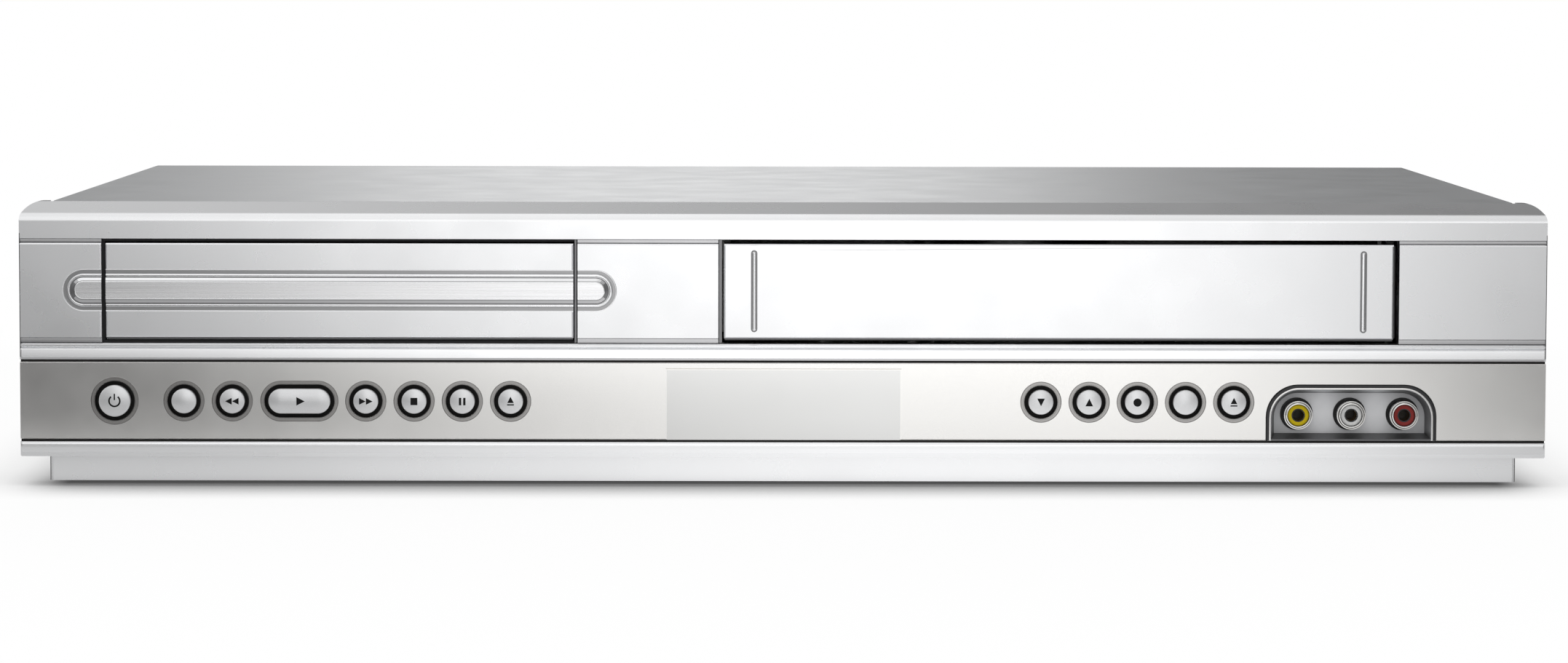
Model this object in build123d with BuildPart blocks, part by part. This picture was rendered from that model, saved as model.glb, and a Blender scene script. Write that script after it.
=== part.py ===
from build123d import *

import os
from math import acos, atan2, ceil, cos, degrees, pi, radians, sin, tan

# A slim combined disc and tape player for a shelf under a television. A disc tray slides out of the
# left half of its front, a spring-loaded flap covers the cassette slot in the right half, and a band of
# push buttons with three sockets runs below them. Everything is in millimetres. X runs to the right,
# Y runs back into the player, Z runs up, and the origin is on the shelf below the player's middle.

os.makedirs("parts", exist_ok=True)

# Overall sizes
width = 430.0
depth = 270.0
wall = 2.2
sheet = 0.8
pan_sheet = 1.0
board_thick = 1.6
gap = 0.3
running_fit = 0.05

# Heights in the front, from the shelf up
plinth_bottom = 1.0
lip_bottom = 8.5
lip_height = 4.2
seam = 0.7
band_height = 21.8
rail_height = 4.6
door_gap_low = 1.6
door_height = 26.7
door_gap_high = 1.2
visor_height = 10.0

lip_top = lip_bottom + lip_height
band_bottom = lip_top + seam
band_top = band_bottom + band_height
rail_bottom = band_top + seam
rail_top = rail_bottom + rail_height
door_bottom = rail_top + door_gap_low
door_top = door_bottom + door_height
bay_top = door_top + door_gap_high
height = bay_top + visor_height
door_middle = (door_bottom + door_top) / 2

# The front bezel, with depths measured back from its front face
bezel_top_run = 10.5
bezel_slope = 17.0
bezel_depth = 16.0
bezel_corner = 5.0
bezel_edge = 2.5
band_recess = 2.6
band_thick = 2.0
plinth_setback = 7.0
plinth_run = 12.0
plinth_corner = 1.0
brow_chamfer = 1.2
band_chamfer = 0.25
groove_depth = 1.0
edge_break = 0.45

# The buttons stand proud of the band and the sockets stand proud of the back
button_proud = 0.6
button_travel = 1.0
socket_proud = 8.5
front = -depth / 2 + button_proud
back = depth / 2 - socket_proud
body_depth = back - front

# The sheet-metal case behind the bezel
cover_setback = 7.2
cover_bend = 3.0
pan_bottom = 7.0
cover_half = width / 2 - cover_setback
pan_half = cover_half - sheet - gap
pan_flange = 12.0
pan_top = pan_bottom + pan_sheet
pan_start = plinth_setback + plinth_run + gap
foot_radius = 9.5
foot_inset_x = 50.0
foot_inset_y = 42.0
foot_spacing_x = width - 2 * foot_inset_x
board_level = 13.0

# The disc tray and its bay
left_cheek = 23.1
tray_door_width = 131.5
tray_door_gap = 1.2
tray_width = 128.0
tray_length = 170.0
tray_rim = 58.5
disc_recess = 121.5
small_disc_recess = 81.0
disc_step = 2.4
small_disc_step = 1.2
tray_floor = 1.6
disc_centre = 72.0
tray_travel = 130.0
tray_slot = 42.0
tray_door_thick = 2.4

# The cassette flap and its slot
right_cheek = 41.6
flap_width = 188.6
flap_gap = 1.6
flap_thick = 2.0
flap_pivot_back = 4.2
flap_pivot_rise = 2.0
flap_pin = 1.2
flap_ear = 1.8
cassette_width = 187.0
cassette_height = 25.0

# The stadium-shaped channel that crosses the tray door
channel_length = 155.4
channel_height = 11.3
island_height = 7.5
channel_depth = 0.9

tray_left = left_cheek - width / 2
tray_right = tray_left + tray_door_width + 2 * tray_door_gap
tray_middle = (tray_left + tray_right) / 2
flap_right = width / 2 - right_cheek
flap_left = flap_right - flap_width - 2 * flap_gap
flap_middle = (flap_left + flap_right) / 2

# The buttons stand in a row with one round size, but for the larger standby button and the long play
# button, whose two round ends are this far apart.
button_level = 24.2
standby_radius = 4.6
small_radius = 3.65
play_stretch = 10.4
button_pitch = 13.6
standby_inset = 26.6
left_group_step = 19.5
play_step = 52.0
disc_group_step = 70.7
right_group_inset = 142.4
standby_x = standby_inset - width / 2
left_group_x = standby_x + left_group_step
play_x = standby_x + play_step
disc_group_x = standby_x + disc_group_step
right_group_x = width / 2 - right_group_inset

# Each button's middle across the front, its cap radius and its stretch
buttons = {
    "standby_button": (standby_x, standby_radius, 0.0),
    "dubbing_button": (left_group_x, small_radius, 0.0),
    "rewind_button": (left_group_x + button_pitch, small_radius, 0.0),
    "play_button": (play_x, small_radius, play_stretch),
    "forward_button": (disc_group_x, small_radius, 0.0),
    "stop_button": (disc_group_x + button_pitch, small_radius, 0.0),
    "pause_button": (disc_group_x + 2 * button_pitch, small_radius, 0.0),
    "open_close_button": (disc_group_x + 3 * button_pitch, small_radius, 0.0),
    "channel_down_button": (right_group_x, small_radius, 0.0),
    "channel_up_button": (right_group_x + button_pitch, small_radius, 0.0),
    "record_button": (right_group_x + 2 * button_pitch, small_radius, 0.0),
    "source_button": (right_group_x + 3 * button_pitch, small_radius, 0.0),
    "eject_button": (right_group_x + 4 * button_pitch, small_radius, 0.0),
}
well_gap = 0.9
dish_width = 1.25
cap_thick = 2.0
stem_half = 2.0
stem_gap = 0.25
flange_half = 3.0
flange_thick = 1.0

# The socket recess in the band and its three round sockets
recess_inset = 54.8
recess_width = 47.2
recess_height = 15.4
recess_corner = 9.0
recess_depth = 5.0
recess_rim = 1.0
recess_draft = 14.0
recess_shell = 1.5
recess_middle = width / 2 - recess_inset
jack_pitch = 14.95
jack_level = 20.6
jack_radius = 4.0
jack_inner = 3.0
jack_hole = 1.6
jack_seat = 4.6
display_half = 32.9
display_height = 20.0
display_border = 2.0

# The board behind the band
key_board_thick = 1.2
stem_tip = band_recess + wall + flange_thick + 2.0
key_tip = stem_tip + button_travel + gap
key_body = 3.6
key_plunger = 0.6
key_plunger_side = 2.4
key_side = 6.0
key_board_front = key_tip + key_body
key_board_top = band_top - 1.9
key_board_bottom = band_bottom + 1.1

# The disc loader, with places measured back from the bezel's front face
loader_start = 18.0
loader_end = 190.0
loader_bottom = 33.0
loader_wall = 2.0
loader_rise = 1.7
loader_lip = 47.0
runner_gap = 0.4
runner_width = 4.0
runner_thick = 1.6
hook_width = 1.6
hook_length = 6.0
tray_bottom = tray_rim - disc_step - small_disc_step - tray_floor
tray_end = tray_door_thick + tray_length
loader_top = tray_rim + loader_rise
loader_inner = tray_width + 2 * runner_gap
loader_outer = loader_inner + 2 * loader_wall
loader_run = loader_end - loader_start
loader_centre = (loader_start + loader_end) / 2

# The rack under the tray and the gear that drives it
module = 1.5
gear_teeth = 12
lead_teeth = 2
rack_inset = 10.0
rack_line = tray_middle - tray_width / 2 + rack_inset
rack_bar = 3.0
rack_height = 4.0
gear_back = 34.0
gear_pin = 1.5
gear_bore = gear_pin + running_fit
tooth_slack = 0.16
addendum = 0.9 * module
dedendum = 1.25 * module
gear_pitch_radius = module * gear_teeth / 2
rack_pitch = module * pi
rack_teeth = ceil(tray_travel / rack_pitch) + 1 + lead_teeth
gear_x = rack_line + gear_pitch_radius
pulley_radius = 11.0
pulley_low = 43.5
pulley_thick = 4.8
motor_pulley_radius = 3.2
belt_thick = 1.2
loading_motor_step = 47.95
loading_motor_x = gear_x + loading_motor_step
loading_motor_radius = 10.0
loading_motor_height = 14.0
motor_hole = 8.0

# The optical unit
traverse_level = 40.0
traverse_thick = 2.0
traverse_half = 50.0
traverse_start = 54.0
traverse_end = 156.0
traverse_edge = 7.0
rod_offset = 23.0
rod_radius = 1.5
rod_level = 45.0
lug_thick = 3.5
window_half = 29.0
sled_half = 27.0
sled_length = 26.0
sled_back = 89.0
sled_play = 4.0
sled_low = 39.0
sled_high = 49.5
sled_chamfer = 3.0
lens_radius = 5.5
lens_rim = 1.5
lens_rise = 2.2
pickup_travel = 33.0
window_start = sled_back - sled_play
window_end = sled_back + sled_length + pickup_travel + sled_play
spindle_motor_radius = 11.0
turntable_high = 57.1
turntable_radius = 14.5
turntable_flange = 1.8
disc_bore = 15.0
cone_rise = 2.2
clamp_bridge_level = 62.0
clamp_bridge_start = 54.0
clamp_bridge_end = 90.0
clamper_bore = 11.0
clamper_low = 60.0
clamper_radius = 14.8

# The tape deck
deck_level = 24.0
deck_sheet = 1.2
deck_start = 36.0
deck_end = 224.0
deck_half = 97.4
deck_flange = 5.0
guide_sheet = 1.0
guide_top = 72.0
guide_end = 152.0
carriage_start = 37.0
carriage_depth = 55.0
carriage_sheet = 1.2
carriage_play = 1.4
carriage_level = 41.2
carriage_travel = 58.0
carriage_drop = 15.0
carriage_leaf = 24.0
track_pin = 1.5
track_width = 2 * (track_pin + gap)
track_low = 48.0
track_high = 61.0
track_inset = 10.0
reel_spacing = 92.0
reel_back = 87.0
reel_radius = 16.0
reel_thick = 2.5
reel_hub = 5.0
reel_high = 39.0
reel_spline = 2.0
drum_radius = 31.0
drum_x = flap_middle - 4.5
drum_back = 187.0
drum_lower = 13.0
drum_upper = 15.0
drum_tilt = 6.0
drum_level = 33.0
drum_foot = 19.0
capstan_x = flap_middle + 38.5
capstan_back = 138.0
capstan_radius = 1.5
capstan_high = 39.5
flywheel_radius = 22.0
flywheel_low = 17.0
flywheel_thick = 5.0
pinch_x = capstan_x + 26.0
pinch_back = capstan_back + 13.0
pinch_length = 22.0
pinch_swing = 28.0
pinch_roller = 7.0
pinch_pin = 2.0
guide_spread = 56.0
guide_back = 130.0
guide_shoe = 14.0
guide_shoe_depth = 9.0
guide_roller = 2.5

# The boards, the power parts and the rear sockets
board_edge = 3.0
board_start = 24.0
post_side = 7.0
post_hole = 8.6
loader_post_x = 118.0
loader_post_y = 154.0
deck_post_x = 180.0
deck_post_y = 172.0
board_post_inset = 11.7
board_post_inset_y = 30.45
board_post_y = body_depth - 2 * board_post_inset_y
board_post_x = 2 * (pan_half - board_post_inset)
board_top = board_level + board_thick
chip_side = 22.0
chip_thick = 1.6
chip_pitch_x = 40.0
chip_pitch_y = 44.0
chip_back = 92.0
tape_chip_width = 28.0
tape_chip_depth = 14.0
power_inset_x = 34.7
power_inset_y = 34.9
transformer_x = power_inset_x - pan_half
transformer_back = body_depth - power_inset_y
transformer_foot = 30.0
transformer_core = 24.0
transformer_depth = 26.0
transformer_step = 8.0
transformer_rise = 22.0
heat_sink_x = transformer_x + 100.0
heat_sink_width = 46.0
heat_sink_web = 3.0
heat_sink_fin = 1.8
heat_sink_depth = 16.0
heat_sink_rise = 34.0
heat_sink_fins = 6
heat_sink_pitch = 8.5

# Each capacitor's middle across the board, its radius and its rise
capacitors = (
    (transformer_x + 30.0, 9.0, 32.0),
    (transformer_x + 49.0, 6.0, 24.0),
    (transformer_x + 63.0, 6.0, 24.0),
)
rear_jack_x = 68.0
rear_jack_level = 28.0
rear_jack_pitch = 16.0
rear_jack_columns = 3
rear_block_depth = 10.0
aerial_hole = 7.5
scart_x = -10.0
scart_width = 47.0
scart_height = 15.0
scart_pitch = 17.0
scart_proud = 3.0
scart_edge = 1.5
scart_slot = 2.5
scart_web = 3.0
tuner_inset = 38.7
tuner_x = pan_half - tuner_inset
tuner_width = 44.0
tuner_high = 50.0
tuner_depth = 32.0
aerial_plate = 14.0
aerial_level = 32.0
aerial_radius = 4.75
aerial_bore = 1.2
gland_inset = 22.7
gland_x = gland_inset - pan_half
gland_level = 24.0
gland_radius = 7.0
gland_bore = 3.0
gland_flange = 1.0
vent_count = 14
vent_width = 2.5
vent_height = 24.0
vent_pitch = 6.0

# Small details of the doors, the spring and the carriage
clip_width = 12.0
clip_height = 5.0
clip_depth = 5.0
tray_corner = 4.0
flap_rib_inset = 8.5
flap_rib_height = 23.0
flap_rib_width = 1.7
flap_rib_proud = 0.4
spring_length = 5.0
spring_wire = 0.4
spring_leg = 3.5
carriage_stop = 8.0


# A plane parallel to the front, this far behind the bezel's front face, seen from the front.
def face(behind):
    return Plane.XZ.offset(-(front + behind))


# A level plane at this height above the shelf.
def level(up):
    return Plane.XY.offset(up)


def save(sub_part, name):
    sub_part.part.label = name
    export_step(sub_part.part, f"parts/{name}.step")


# The front bezel: a hollow moulding with a sloping top, a rounded front edge, a recess for the band and
# a set-back plinth below the lower lip.
shoulder = height - bezel_top_run * tan(radians(bezel_slope))
rebate = sheet + gap
with BuildPart() as front_bezel:
    with BuildSketch(Plane.YZ) as side_view:
        with BuildLine() as side_line:
            Polyline(
                (front + bezel_top_run, height),
                (front, shoulder),
                (front, lip_bottom),
                (front + bezel_depth, lip_bottom),
                (front + bezel_depth, height),
                close=True,
            )
        make_face()
        brow = side_view.vertices().group_by(Axis.X)[0].sort_by(Axis.Y)
        fillet(brow[-1], bezel_edge)
        chamfer(brow[0], brow_chamfer)
    extrude(amount=width / 2, both=True)
    with BuildSketch(face(0)) as front_view:
        with Locations((0, (lip_bottom + height) / 2)):
            Rectangle(width, height - lip_bottom)
        fillet(front_view.vertices().group_by(Axis.Y)[-1], bezel_corner)
        fillet(front_view.vertices().group_by(Axis.Y)[0], edge_break)
    extrude(amount=-bezel_depth, mode=Mode.INTERSECT)
    with BuildSketch(Plane.YZ) as cover_shelf:
        with Locations((front + (bezel_top_run + bezel_depth) / 2, height - rebate / 2)):
            Rectangle(bezel_depth - bezel_top_run, rebate)
    extrude(amount=cover_half + gap, both=True, mode=Mode.SUBTRACT)
    # The inside is open to the back between the case's sides and closed beyond them.
    with BuildSketch(Plane.YZ) as inside_view:
        with BuildLine() as inside_line:
            Polyline(
                (front + bezel_depth, height - rebate - wall),
                (front + bezel_top_run - wall, height - rebate - wall),
                (front + wall, shoulder - wall),
                (front + wall, rail_bottom),
                (front + band_recess + wall, rail_bottom),
                (front + band_recess + wall, lip_top),
                (front + wall, lip_top),
                (front + wall, lip_bottom + wall),
                (front + bezel_depth, lip_bottom + wall),
                close=True,
            )
        make_face()
    extrude(amount=cover_half - wall, both=True, mode=Mode.SUBTRACT)
    with BuildSketch(face(band_recess)) as band_seat:
        with Locations((0, (lip_top + rail_bottom) / 2)):
            Rectangle(width, rail_bottom - lip_top)
    extrude(amount=band_recess, mode=Mode.SUBTRACT)
    # The grooves above and below the cheeks between the two doors.
    with BuildSketch(Plane.YZ) as grooves:
        with BuildLine() as upper_groove:
            Polyline(
                (front, bay_top),
                (front + groove_depth, bay_top),
                (front + groove_depth, door_top + edge_break),
                (front, door_top - edge_break),
                close=True,
            )
        make_face()
        with BuildLine() as lower_groove:
            Polyline(
                (front, door_bottom),
                (front + groove_depth, door_bottom - door_gap_low / 4),
                (front + groove_depth, rail_top + door_gap_low / 3),
                (front, rail_top - edge_break),
                close=True,
            )
        make_face()
    extrude(amount=width / 2, both=True, mode=Mode.SUBTRACT)
    # A fine step along the rail, below the lower groove.
    with BuildSketch(Plane.YZ) as rail_step:
        with Locations((front, rail_top - rail_height / 4)):
            Rectangle(2 * edge_break, edge_break, rotation=45)
    extrude(amount=width / 2, both=True, mode=Mode.SUBTRACT)
    # Short returns stiffen the two bays. The cassette bay's side returns reach up to carry the flap.
    with BuildSketch(face(wall)) as returns:
        with Locations(((tray_left + tray_right) / 2, (rail_top + bay_top) / 2)):
            Rectangle(tray_right - tray_left + 2 * wall, bay_top - rail_top + 2 * wall)
        with Locations((flap_middle, (rail_top - wall + bay_top) / 2)):
            Rectangle(flap_right - flap_left + 2 * wall, bay_top - rail_top + wall)
        lug_top = bay_top + flap_pivot_rise + flap_pin + wall / 2
        for side in (flap_left - wall / 2, flap_right + wall / 2):
            with Locations((side, (bay_top + lug_top) / 2)):
                Rectangle(wall, lug_top - bay_top)
    extrude(amount=-(flap_pivot_back + flap_pin + wall / 2 - wall))
    with BuildSketch(face(0)) as bays:
        with Locations(((tray_left + tray_right) / 2, (rail_top + bay_top) / 2)):
            Rectangle(tray_right - tray_left, bay_top - rail_top)
        with Locations((flap_middle, (rail_top + bay_top) / 2)):
            Rectangle(flap_right - flap_left, bay_top - rail_top)
    extrude(amount=-bezel_depth, mode=Mode.SUBTRACT)
    with BuildSketch(Plane.YZ.offset(flap_left - 2 * wall)) as bearings:
        with Locations((front + flap_pivot_back, bay_top + flap_pivot_rise)):
            Circle(flap_pin + running_fit)
    extrude(amount=flap_right - flap_left + 4 * wall, mode=Mode.SUBTRACT)
    # The stadium-shaped channel, with its island, where it crosses the cheeks.
    with BuildSketch(face(0)) as channel:
        with Locations((tray_middle, door_middle)):
            SlotOverall(channel_length, channel_height)
            SlotOverall(
                channel_length - channel_height + island_height,
                island_height,
                mode=Mode.SUBTRACT,
            )
    extrude(amount=-channel_depth, mode=Mode.SUBTRACT)
    # Holes in the band's seat for the button stems, the sockets and the display.
    with BuildSketch(face(band_recess)) as seat_holes:
        for middle, radius, stretch in buttons.values():
            with Locations((middle, button_level)):
                Rectangle(2 * (stem_half + stem_gap) + stretch, 2 * (stem_half + stem_gap))
        with Locations((recess_middle, band_bottom + recess_height / 2)):
            Rectangle(recess_width + 2 * gap, recess_height + 2 * gap)
        with Locations((0, band_bottom + display_height / 2)):
            Rectangle(2 * (display_half - display_border), display_height - 2 * display_border)
    extrude(amount=-wall, mode=Mode.SUBTRACT)
    # The plinth: a front wall with a return at each end, open below.
    with BuildSketch(level(plinth_bottom)) as plinth:
        with Locations((0, front + plinth_setback + plinth_run / 2)):
            Rectangle(2 * cover_half, plinth_run)
            fillet(plinth.vertices().group_by(Axis.Y)[0], plinth_corner)
        with Locations((0, front + plinth_setback + wall + plinth_run / 2)):
            Rectangle(2 * (cover_half - wall), plinth_run, mode=Mode.SUBTRACT)
    extrude(amount=lip_bottom - plinth_bottom)
save(front_bezel, "front_bezel")

# The control band: one long strip with dished button holes, a notch for the socket recess and a notch
# for the display window.
with BuildPart() as control_band:
    with BuildSketch(face(0)) as band_outline:
        with Locations((0, band_bottom + band_height / 2)):
            Rectangle(width, band_height)
        with Locations((recess_middle, band_bottom + recess_height / 2)):
            Rectangle(recess_width + 2 * gap, recess_height + 2 * gap, mode=Mode.SUBTRACT)
        with Locations((0, band_bottom + display_height / 2)):
            Rectangle(2 * display_half + 2 * gap, display_height, mode=Mode.SUBTRACT)
    extrude(amount=-band_thick)
    notch_corners = control_band.edges().filter_by(Axis.Y).filter_by_position(
        Axis.Z, band_bottom + recess_height, band_bottom + recess_height + 2 * gap
    )
    fillet(notch_corners.filter_by(lambda e: e.center().X > display_half + 1), recess_corner)
    with BuildSketch(face(0)) as dishes:
        for middle, radius, stretch in buttons.values():
            with Locations((middle, button_level)):
                if stretch:
                    SlotCenterToCenter(stretch, 2 * (radius + well_gap + dish_width))
                else:
                    Circle(radius + well_gap + dish_width)
    dish_taper = degrees(atan2(dish_width, band_thick))
    extrude(amount=-band_thick, taper=dish_taper, mode=Mode.SUBTRACT)
    band_edge = control_band.faces().sort_by(Axis.Y)[0].outer_wire().edges()
    chamfer(band_edge.filter_by(Axis.X), band_chamfer)
save(control_band, "control_band")

# The display window: a clear plate set flush into the band.
with BuildPart() as display_window:
    with BuildSketch(face(0)):
        with Locations((0, band_bottom + (display_height - gap) / 2)):
            Rectangle(2 * display_half, display_height - gap)
    extrude(amount=-band_thick)
save(display_window, "display_window")

# The buttons: a domed cap, a square stem through the band's seat and a flange that stops it coming out.
for name, (middle, radius, stretch) in buttons.items():
    with BuildPart() as button:
        with BuildSketch(face(-button_proud)) as cap:
            with Locations((middle, button_level)):
                if stretch:
                    SlotCenterToCenter(stretch, 2 * radius)
                else:
                    Circle(radius)
        extrude(amount=-cap_thick)
        with BuildSketch(face(cap_thick - button_proud)) as stem:
            with Locations((middle, button_level)):
                Rectangle(2 * stem_half + stretch, 2 * stem_half)
        extrude(amount=-(stem_tip - cap_thick + button_proud))
        with BuildSketch(face(band_recess + wall + stem_gap)) as flange:
            with Locations((middle, button_level)):
                Rectangle(2 * flange_half + stretch, 2 * flange_half)
        extrude(amount=-flange_thick)
    save(button, name)

# The socket recess: a shallow drafted pocket with a rounded top and three round holes.
with BuildPart() as jack_recess:
    with BuildSketch(face(0)) as recess_outline:
        with Locations((recess_middle, band_bottom + recess_height / 2)):
            Rectangle(recess_width, recess_height)
        fillet(recess_outline.vertices().group_by(Axis.Y)[-1], recess_corner)
    extrude(amount=-(recess_depth + recess_shell))
    with BuildSketch(face(0)) as pocket:
        with Locations((recess_middle, band_bottom + (recess_height - recess_rim + gap) / 2)):
            Rectangle(recess_width - 2 * recess_rim, recess_height - recess_rim - gap)
        fillet(pocket.vertices().group_by(Axis.Y)[-1], recess_corner - recess_rim)
    extrude(amount=-recess_depth, taper=recess_draft, mode=Mode.SUBTRACT)
    with BuildSketch(face(recess_depth)):
        with Locations((recess_middle, jack_level)):
            with GridLocations(jack_pitch, 1, 3, 1):
                Circle(jack_seat)
    extrude(amount=-recess_shell, mode=Mode.SUBTRACT)
save(jack_recess, "jack_recess")

# The sockets: plated shells, coloured insulators and the block that holds them on the board.
with BuildPart() as jack_shells:
    with BuildSketch(face(-gap)):
        with Locations((recess_middle, jack_level)):
            with GridLocations(jack_pitch, 1, 3, 1):
                Circle(jack_radius)
                Circle(jack_inner, mode=Mode.SUBTRACT)
    extrude(amount=-(recess_depth + recess_shell + 2 * gap))
save(jack_shells, "jack_shells")

jack_names = ("video_jack_insulator", "left_jack_insulator", "right_jack_insulator")
for place, name in enumerate(jack_names):
    with BuildPart() as insulator:
        with BuildSketch(face(0)):
            with Locations((recess_middle + (place - 1) * jack_pitch, jack_level)):
                Circle(jack_inner)
                Circle(jack_hole, mode=Mode.SUBTRACT)
        extrude(amount=-(recess_depth + recess_shell + gap))
    save(insulator, name)

block_front = recess_depth + recess_shell + gap
with BuildPart() as jack_block:
    with BuildSketch(face(block_front)):
        with Locations((recess_middle, jack_level)):
            Rectangle(2 * jack_pitch + 2 * jack_seat, 2 * jack_seat)
    extrude(amount=-(key_board_front - block_front))
save(jack_block, "jack_block")

# The key board: a narrow board behind the band with one push switch behind each button.
with BuildPart() as key_board:
    with BuildSketch(face(key_board_front)):
        with Locations((0, (key_board_bottom + key_board_top) / 2)):
            Rectangle(2 * (cover_half - wall) - 2, key_board_top - key_board_bottom)
    extrude(amount=-key_board_thick)
    with BuildSketch(face(key_tip + key_plunger)):
        for middle, radius, stretch in buttons.values():
            with Locations((middle, button_level)):
                Rectangle(key_side, key_side)
    extrude(amount=-(key_body - key_plunger))
    with BuildSketch(face(key_tip)):
        for middle, radius, stretch in buttons.values():
            with Locations((middle, button_level)):
                Rectangle(key_plunger_side, key_plunger_side)
    extrude(amount=-key_plunger)
save(key_board, "key_board")

# The display module: a glass-fronted box on the key board behind the window.
with BuildPart() as display_module:
    module_front = band_recess + wall + gap
    with BuildSketch(face(module_front)):
        with Locations((0, (key_board_bottom + key_board_top) / 2)):
            Rectangle(2 * display_half, key_board_top - key_board_bottom - 2)
    extrude(amount=-(key_board_front - module_front))
save(display_module, "display_module")

# The tray door: a thin panel that carries the middle of the stadium-shaped channel, with two clips behind
# it that hold it to the tray.
with BuildPart() as tray_door:
    with BuildSketch(face(0)):
        with Locations((tray_middle, door_middle)):
            Rectangle(tray_door_width, door_height)
    extrude(amount=-tray_door_thick)
    chamfer(tray_door.faces().sort_by(Axis.Y)[0].edges(), edge_break)
    with BuildSketch(face(0)):
        with Locations((tray_middle, door_middle)):
            SlotOverall(channel_length, channel_height)
            SlotOverall(
                channel_length - channel_height + island_height,
                island_height,
                mode=Mode.SUBTRACT,
            )
    extrude(amount=-channel_depth, mode=Mode.SUBTRACT)
    with BuildSketch(face(tray_door_thick)):
        with Locations((tray_middle, tray_bottom - clip_height / 2)):
            with GridLocations(tray_width - 3 * clip_width, 1, 2, 1):
                Rectangle(clip_width, clip_height)
    extrude(amount=-clip_depth)
save(tray_door, "tray_door")

# The disc tray: a moulding with a recess for each disc size, a slot from the disc's middle to the back
# and a toothed rack underneath.
with BuildPart() as disc_tray:
    with BuildSketch(level(tray_bottom)) as tray_plan:
        with Locations((tray_middle, front + tray_door_thick + tray_length / 2)):
            Rectangle(tray_width, tray_length)
        fillet(tray_plan.vertices().group_by(Axis.Y)[-1], tray_corner)
    extrude(amount=tray_rim - tray_bottom)
    for size, step in ((disc_recess, disc_step), (small_disc_recess, disc_step + small_disc_step)):
        with BuildSketch(level(tray_rim)):
            with Locations((tray_middle, front + disc_centre)):
                Circle(size / 2)
        extrude(amount=-step, mode=Mode.SUBTRACT)
    with BuildSketch(level(tray_bottom)):
        with Locations((tray_middle, front + disc_centre)):
            Circle(tray_slot / 2)
        with Locations((tray_middle, front + (disc_centre + tray_end) / 2)):
            Rectangle(tray_slot, tray_end - disc_centre)
    extrude(amount=tray_rim - tray_bottom, mode=Mode.SUBTRACT)
    with BuildSketch(level(tray_bottom)) as rack:
        root = rack_line - dedendum
        tip = rack_line + addendum
        root_half = rack_pitch / 4 - tooth_slack + dedendum * tan(radians(20))
        tip_half = rack_pitch / 4 - tooth_slack - addendum * tan(radians(20))
        first = front + gear_back + (0.5 - lead_teeth) * rack_pitch
        rack_points = []
        for tooth in range(rack_teeth):
            middle = first + tooth * rack_pitch
            rack_points += [
                (root, middle - root_half),
                (tip, middle - tip_half),
                (tip, middle + tip_half),
                (root, middle + root_half),
            ]
        last = first + (rack_teeth - 1) * rack_pitch + root_half
        with BuildLine():
            Polyline(
                *rack_points,
                (root - rack_bar, last),
                (root - rack_bar, first - root_half),
                close=True,
            )
        make_face()
    extrude(amount=-rack_height)
save(disc_tray, "disc_tray")

# The loader frame: a moulded box, open above and at the front, with runners under the tray's edges, hooks
# over them and a post for the tray gear.
with BuildPart() as loader_frame:
    with BuildSketch(level(loader_bottom)) as loader_plan:
        with Locations((tray_middle, front + loader_centre)):
            Rectangle(loader_outer, loader_run)
    extrude(amount=loader_top - loader_bottom)
    with BuildSketch(level(loader_bottom + loader_wall)):
        with Locations((tray_middle, front + loader_centre)):
            Rectangle(loader_inner, loader_run - 2 * loader_wall)
    extrude(amount=loader_top - loader_bottom, mode=Mode.SUBTRACT)
    with BuildSketch(face(loader_start)):
        with Locations((tray_middle, (loader_lip + loader_top) / 2)):
            Rectangle(loader_inner, loader_top - loader_lip)
    extrude(amount=-loader_wall, mode=Mode.SUBTRACT)
    with BuildSketch(level(loader_bottom)):
        with Locations((tray_middle, front + (traverse_start + traverse_end) / 2)):
            Rectangle(
                2 * (traverse_half - traverse_edge),
                traverse_end - traverse_start - 2 * traverse_edge,
            )
    extrude(amount=loader_wall, mode=Mode.SUBTRACT)
    with BuildSketch(face(loader_start)):
        with Locations((tray_middle, tray_bottom - gap - runner_thick / 2)):
            with GridLocations(loader_inner - runner_width, 1, 2, 1):
                Rectangle(runner_width, runner_thick)
    extrude(amount=-loader_run)
    with BuildSketch(level(tray_rim + gap)):
        with Locations((tray_middle, front + loader_centre)):
            with GridLocations(loader_inner - hook_width, loader_run / 3, 2, 3):
                Rectangle(hook_width, hook_length)
    extrude(amount=loader_top - tray_rim - gap)
    with BuildSketch(level(loader_bottom + loader_wall)):
        with Locations((tray_middle, front + (traverse_start + traverse_end) / 2)):
            with GridLocations(
                2 * traverse_half - traverse_edge,
                traverse_end - traverse_start - traverse_edge,
                2,
                2,
            ):
                Rectangle(traverse_edge, traverse_edge)
    extrude(amount=traverse_level - loader_bottom - loader_wall)
    with BuildSketch(level(loader_bottom + loader_wall)):
        with Locations((gear_x, front + gear_back)):
            Rectangle(5 * gear_pin, 5 * gear_pin)
    extrude(amount=pulley_low - gap - loader_bottom - loader_wall)
    with BuildSketch(level(pulley_low - gap)):
        with Locations((gear_x, front + gear_back)):
            Circle(gear_pin)
    extrude(amount=tray_bottom - pulley_low)
    with BuildSketch(level(loader_bottom)):
        with Locations((loading_motor_x, front + gear_back)):
            Rectangle(motor_hole, motor_hole)
    extrude(amount=loader_wall, mode=Mode.SUBTRACT)
save(loader_frame, "loader_frame")

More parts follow.
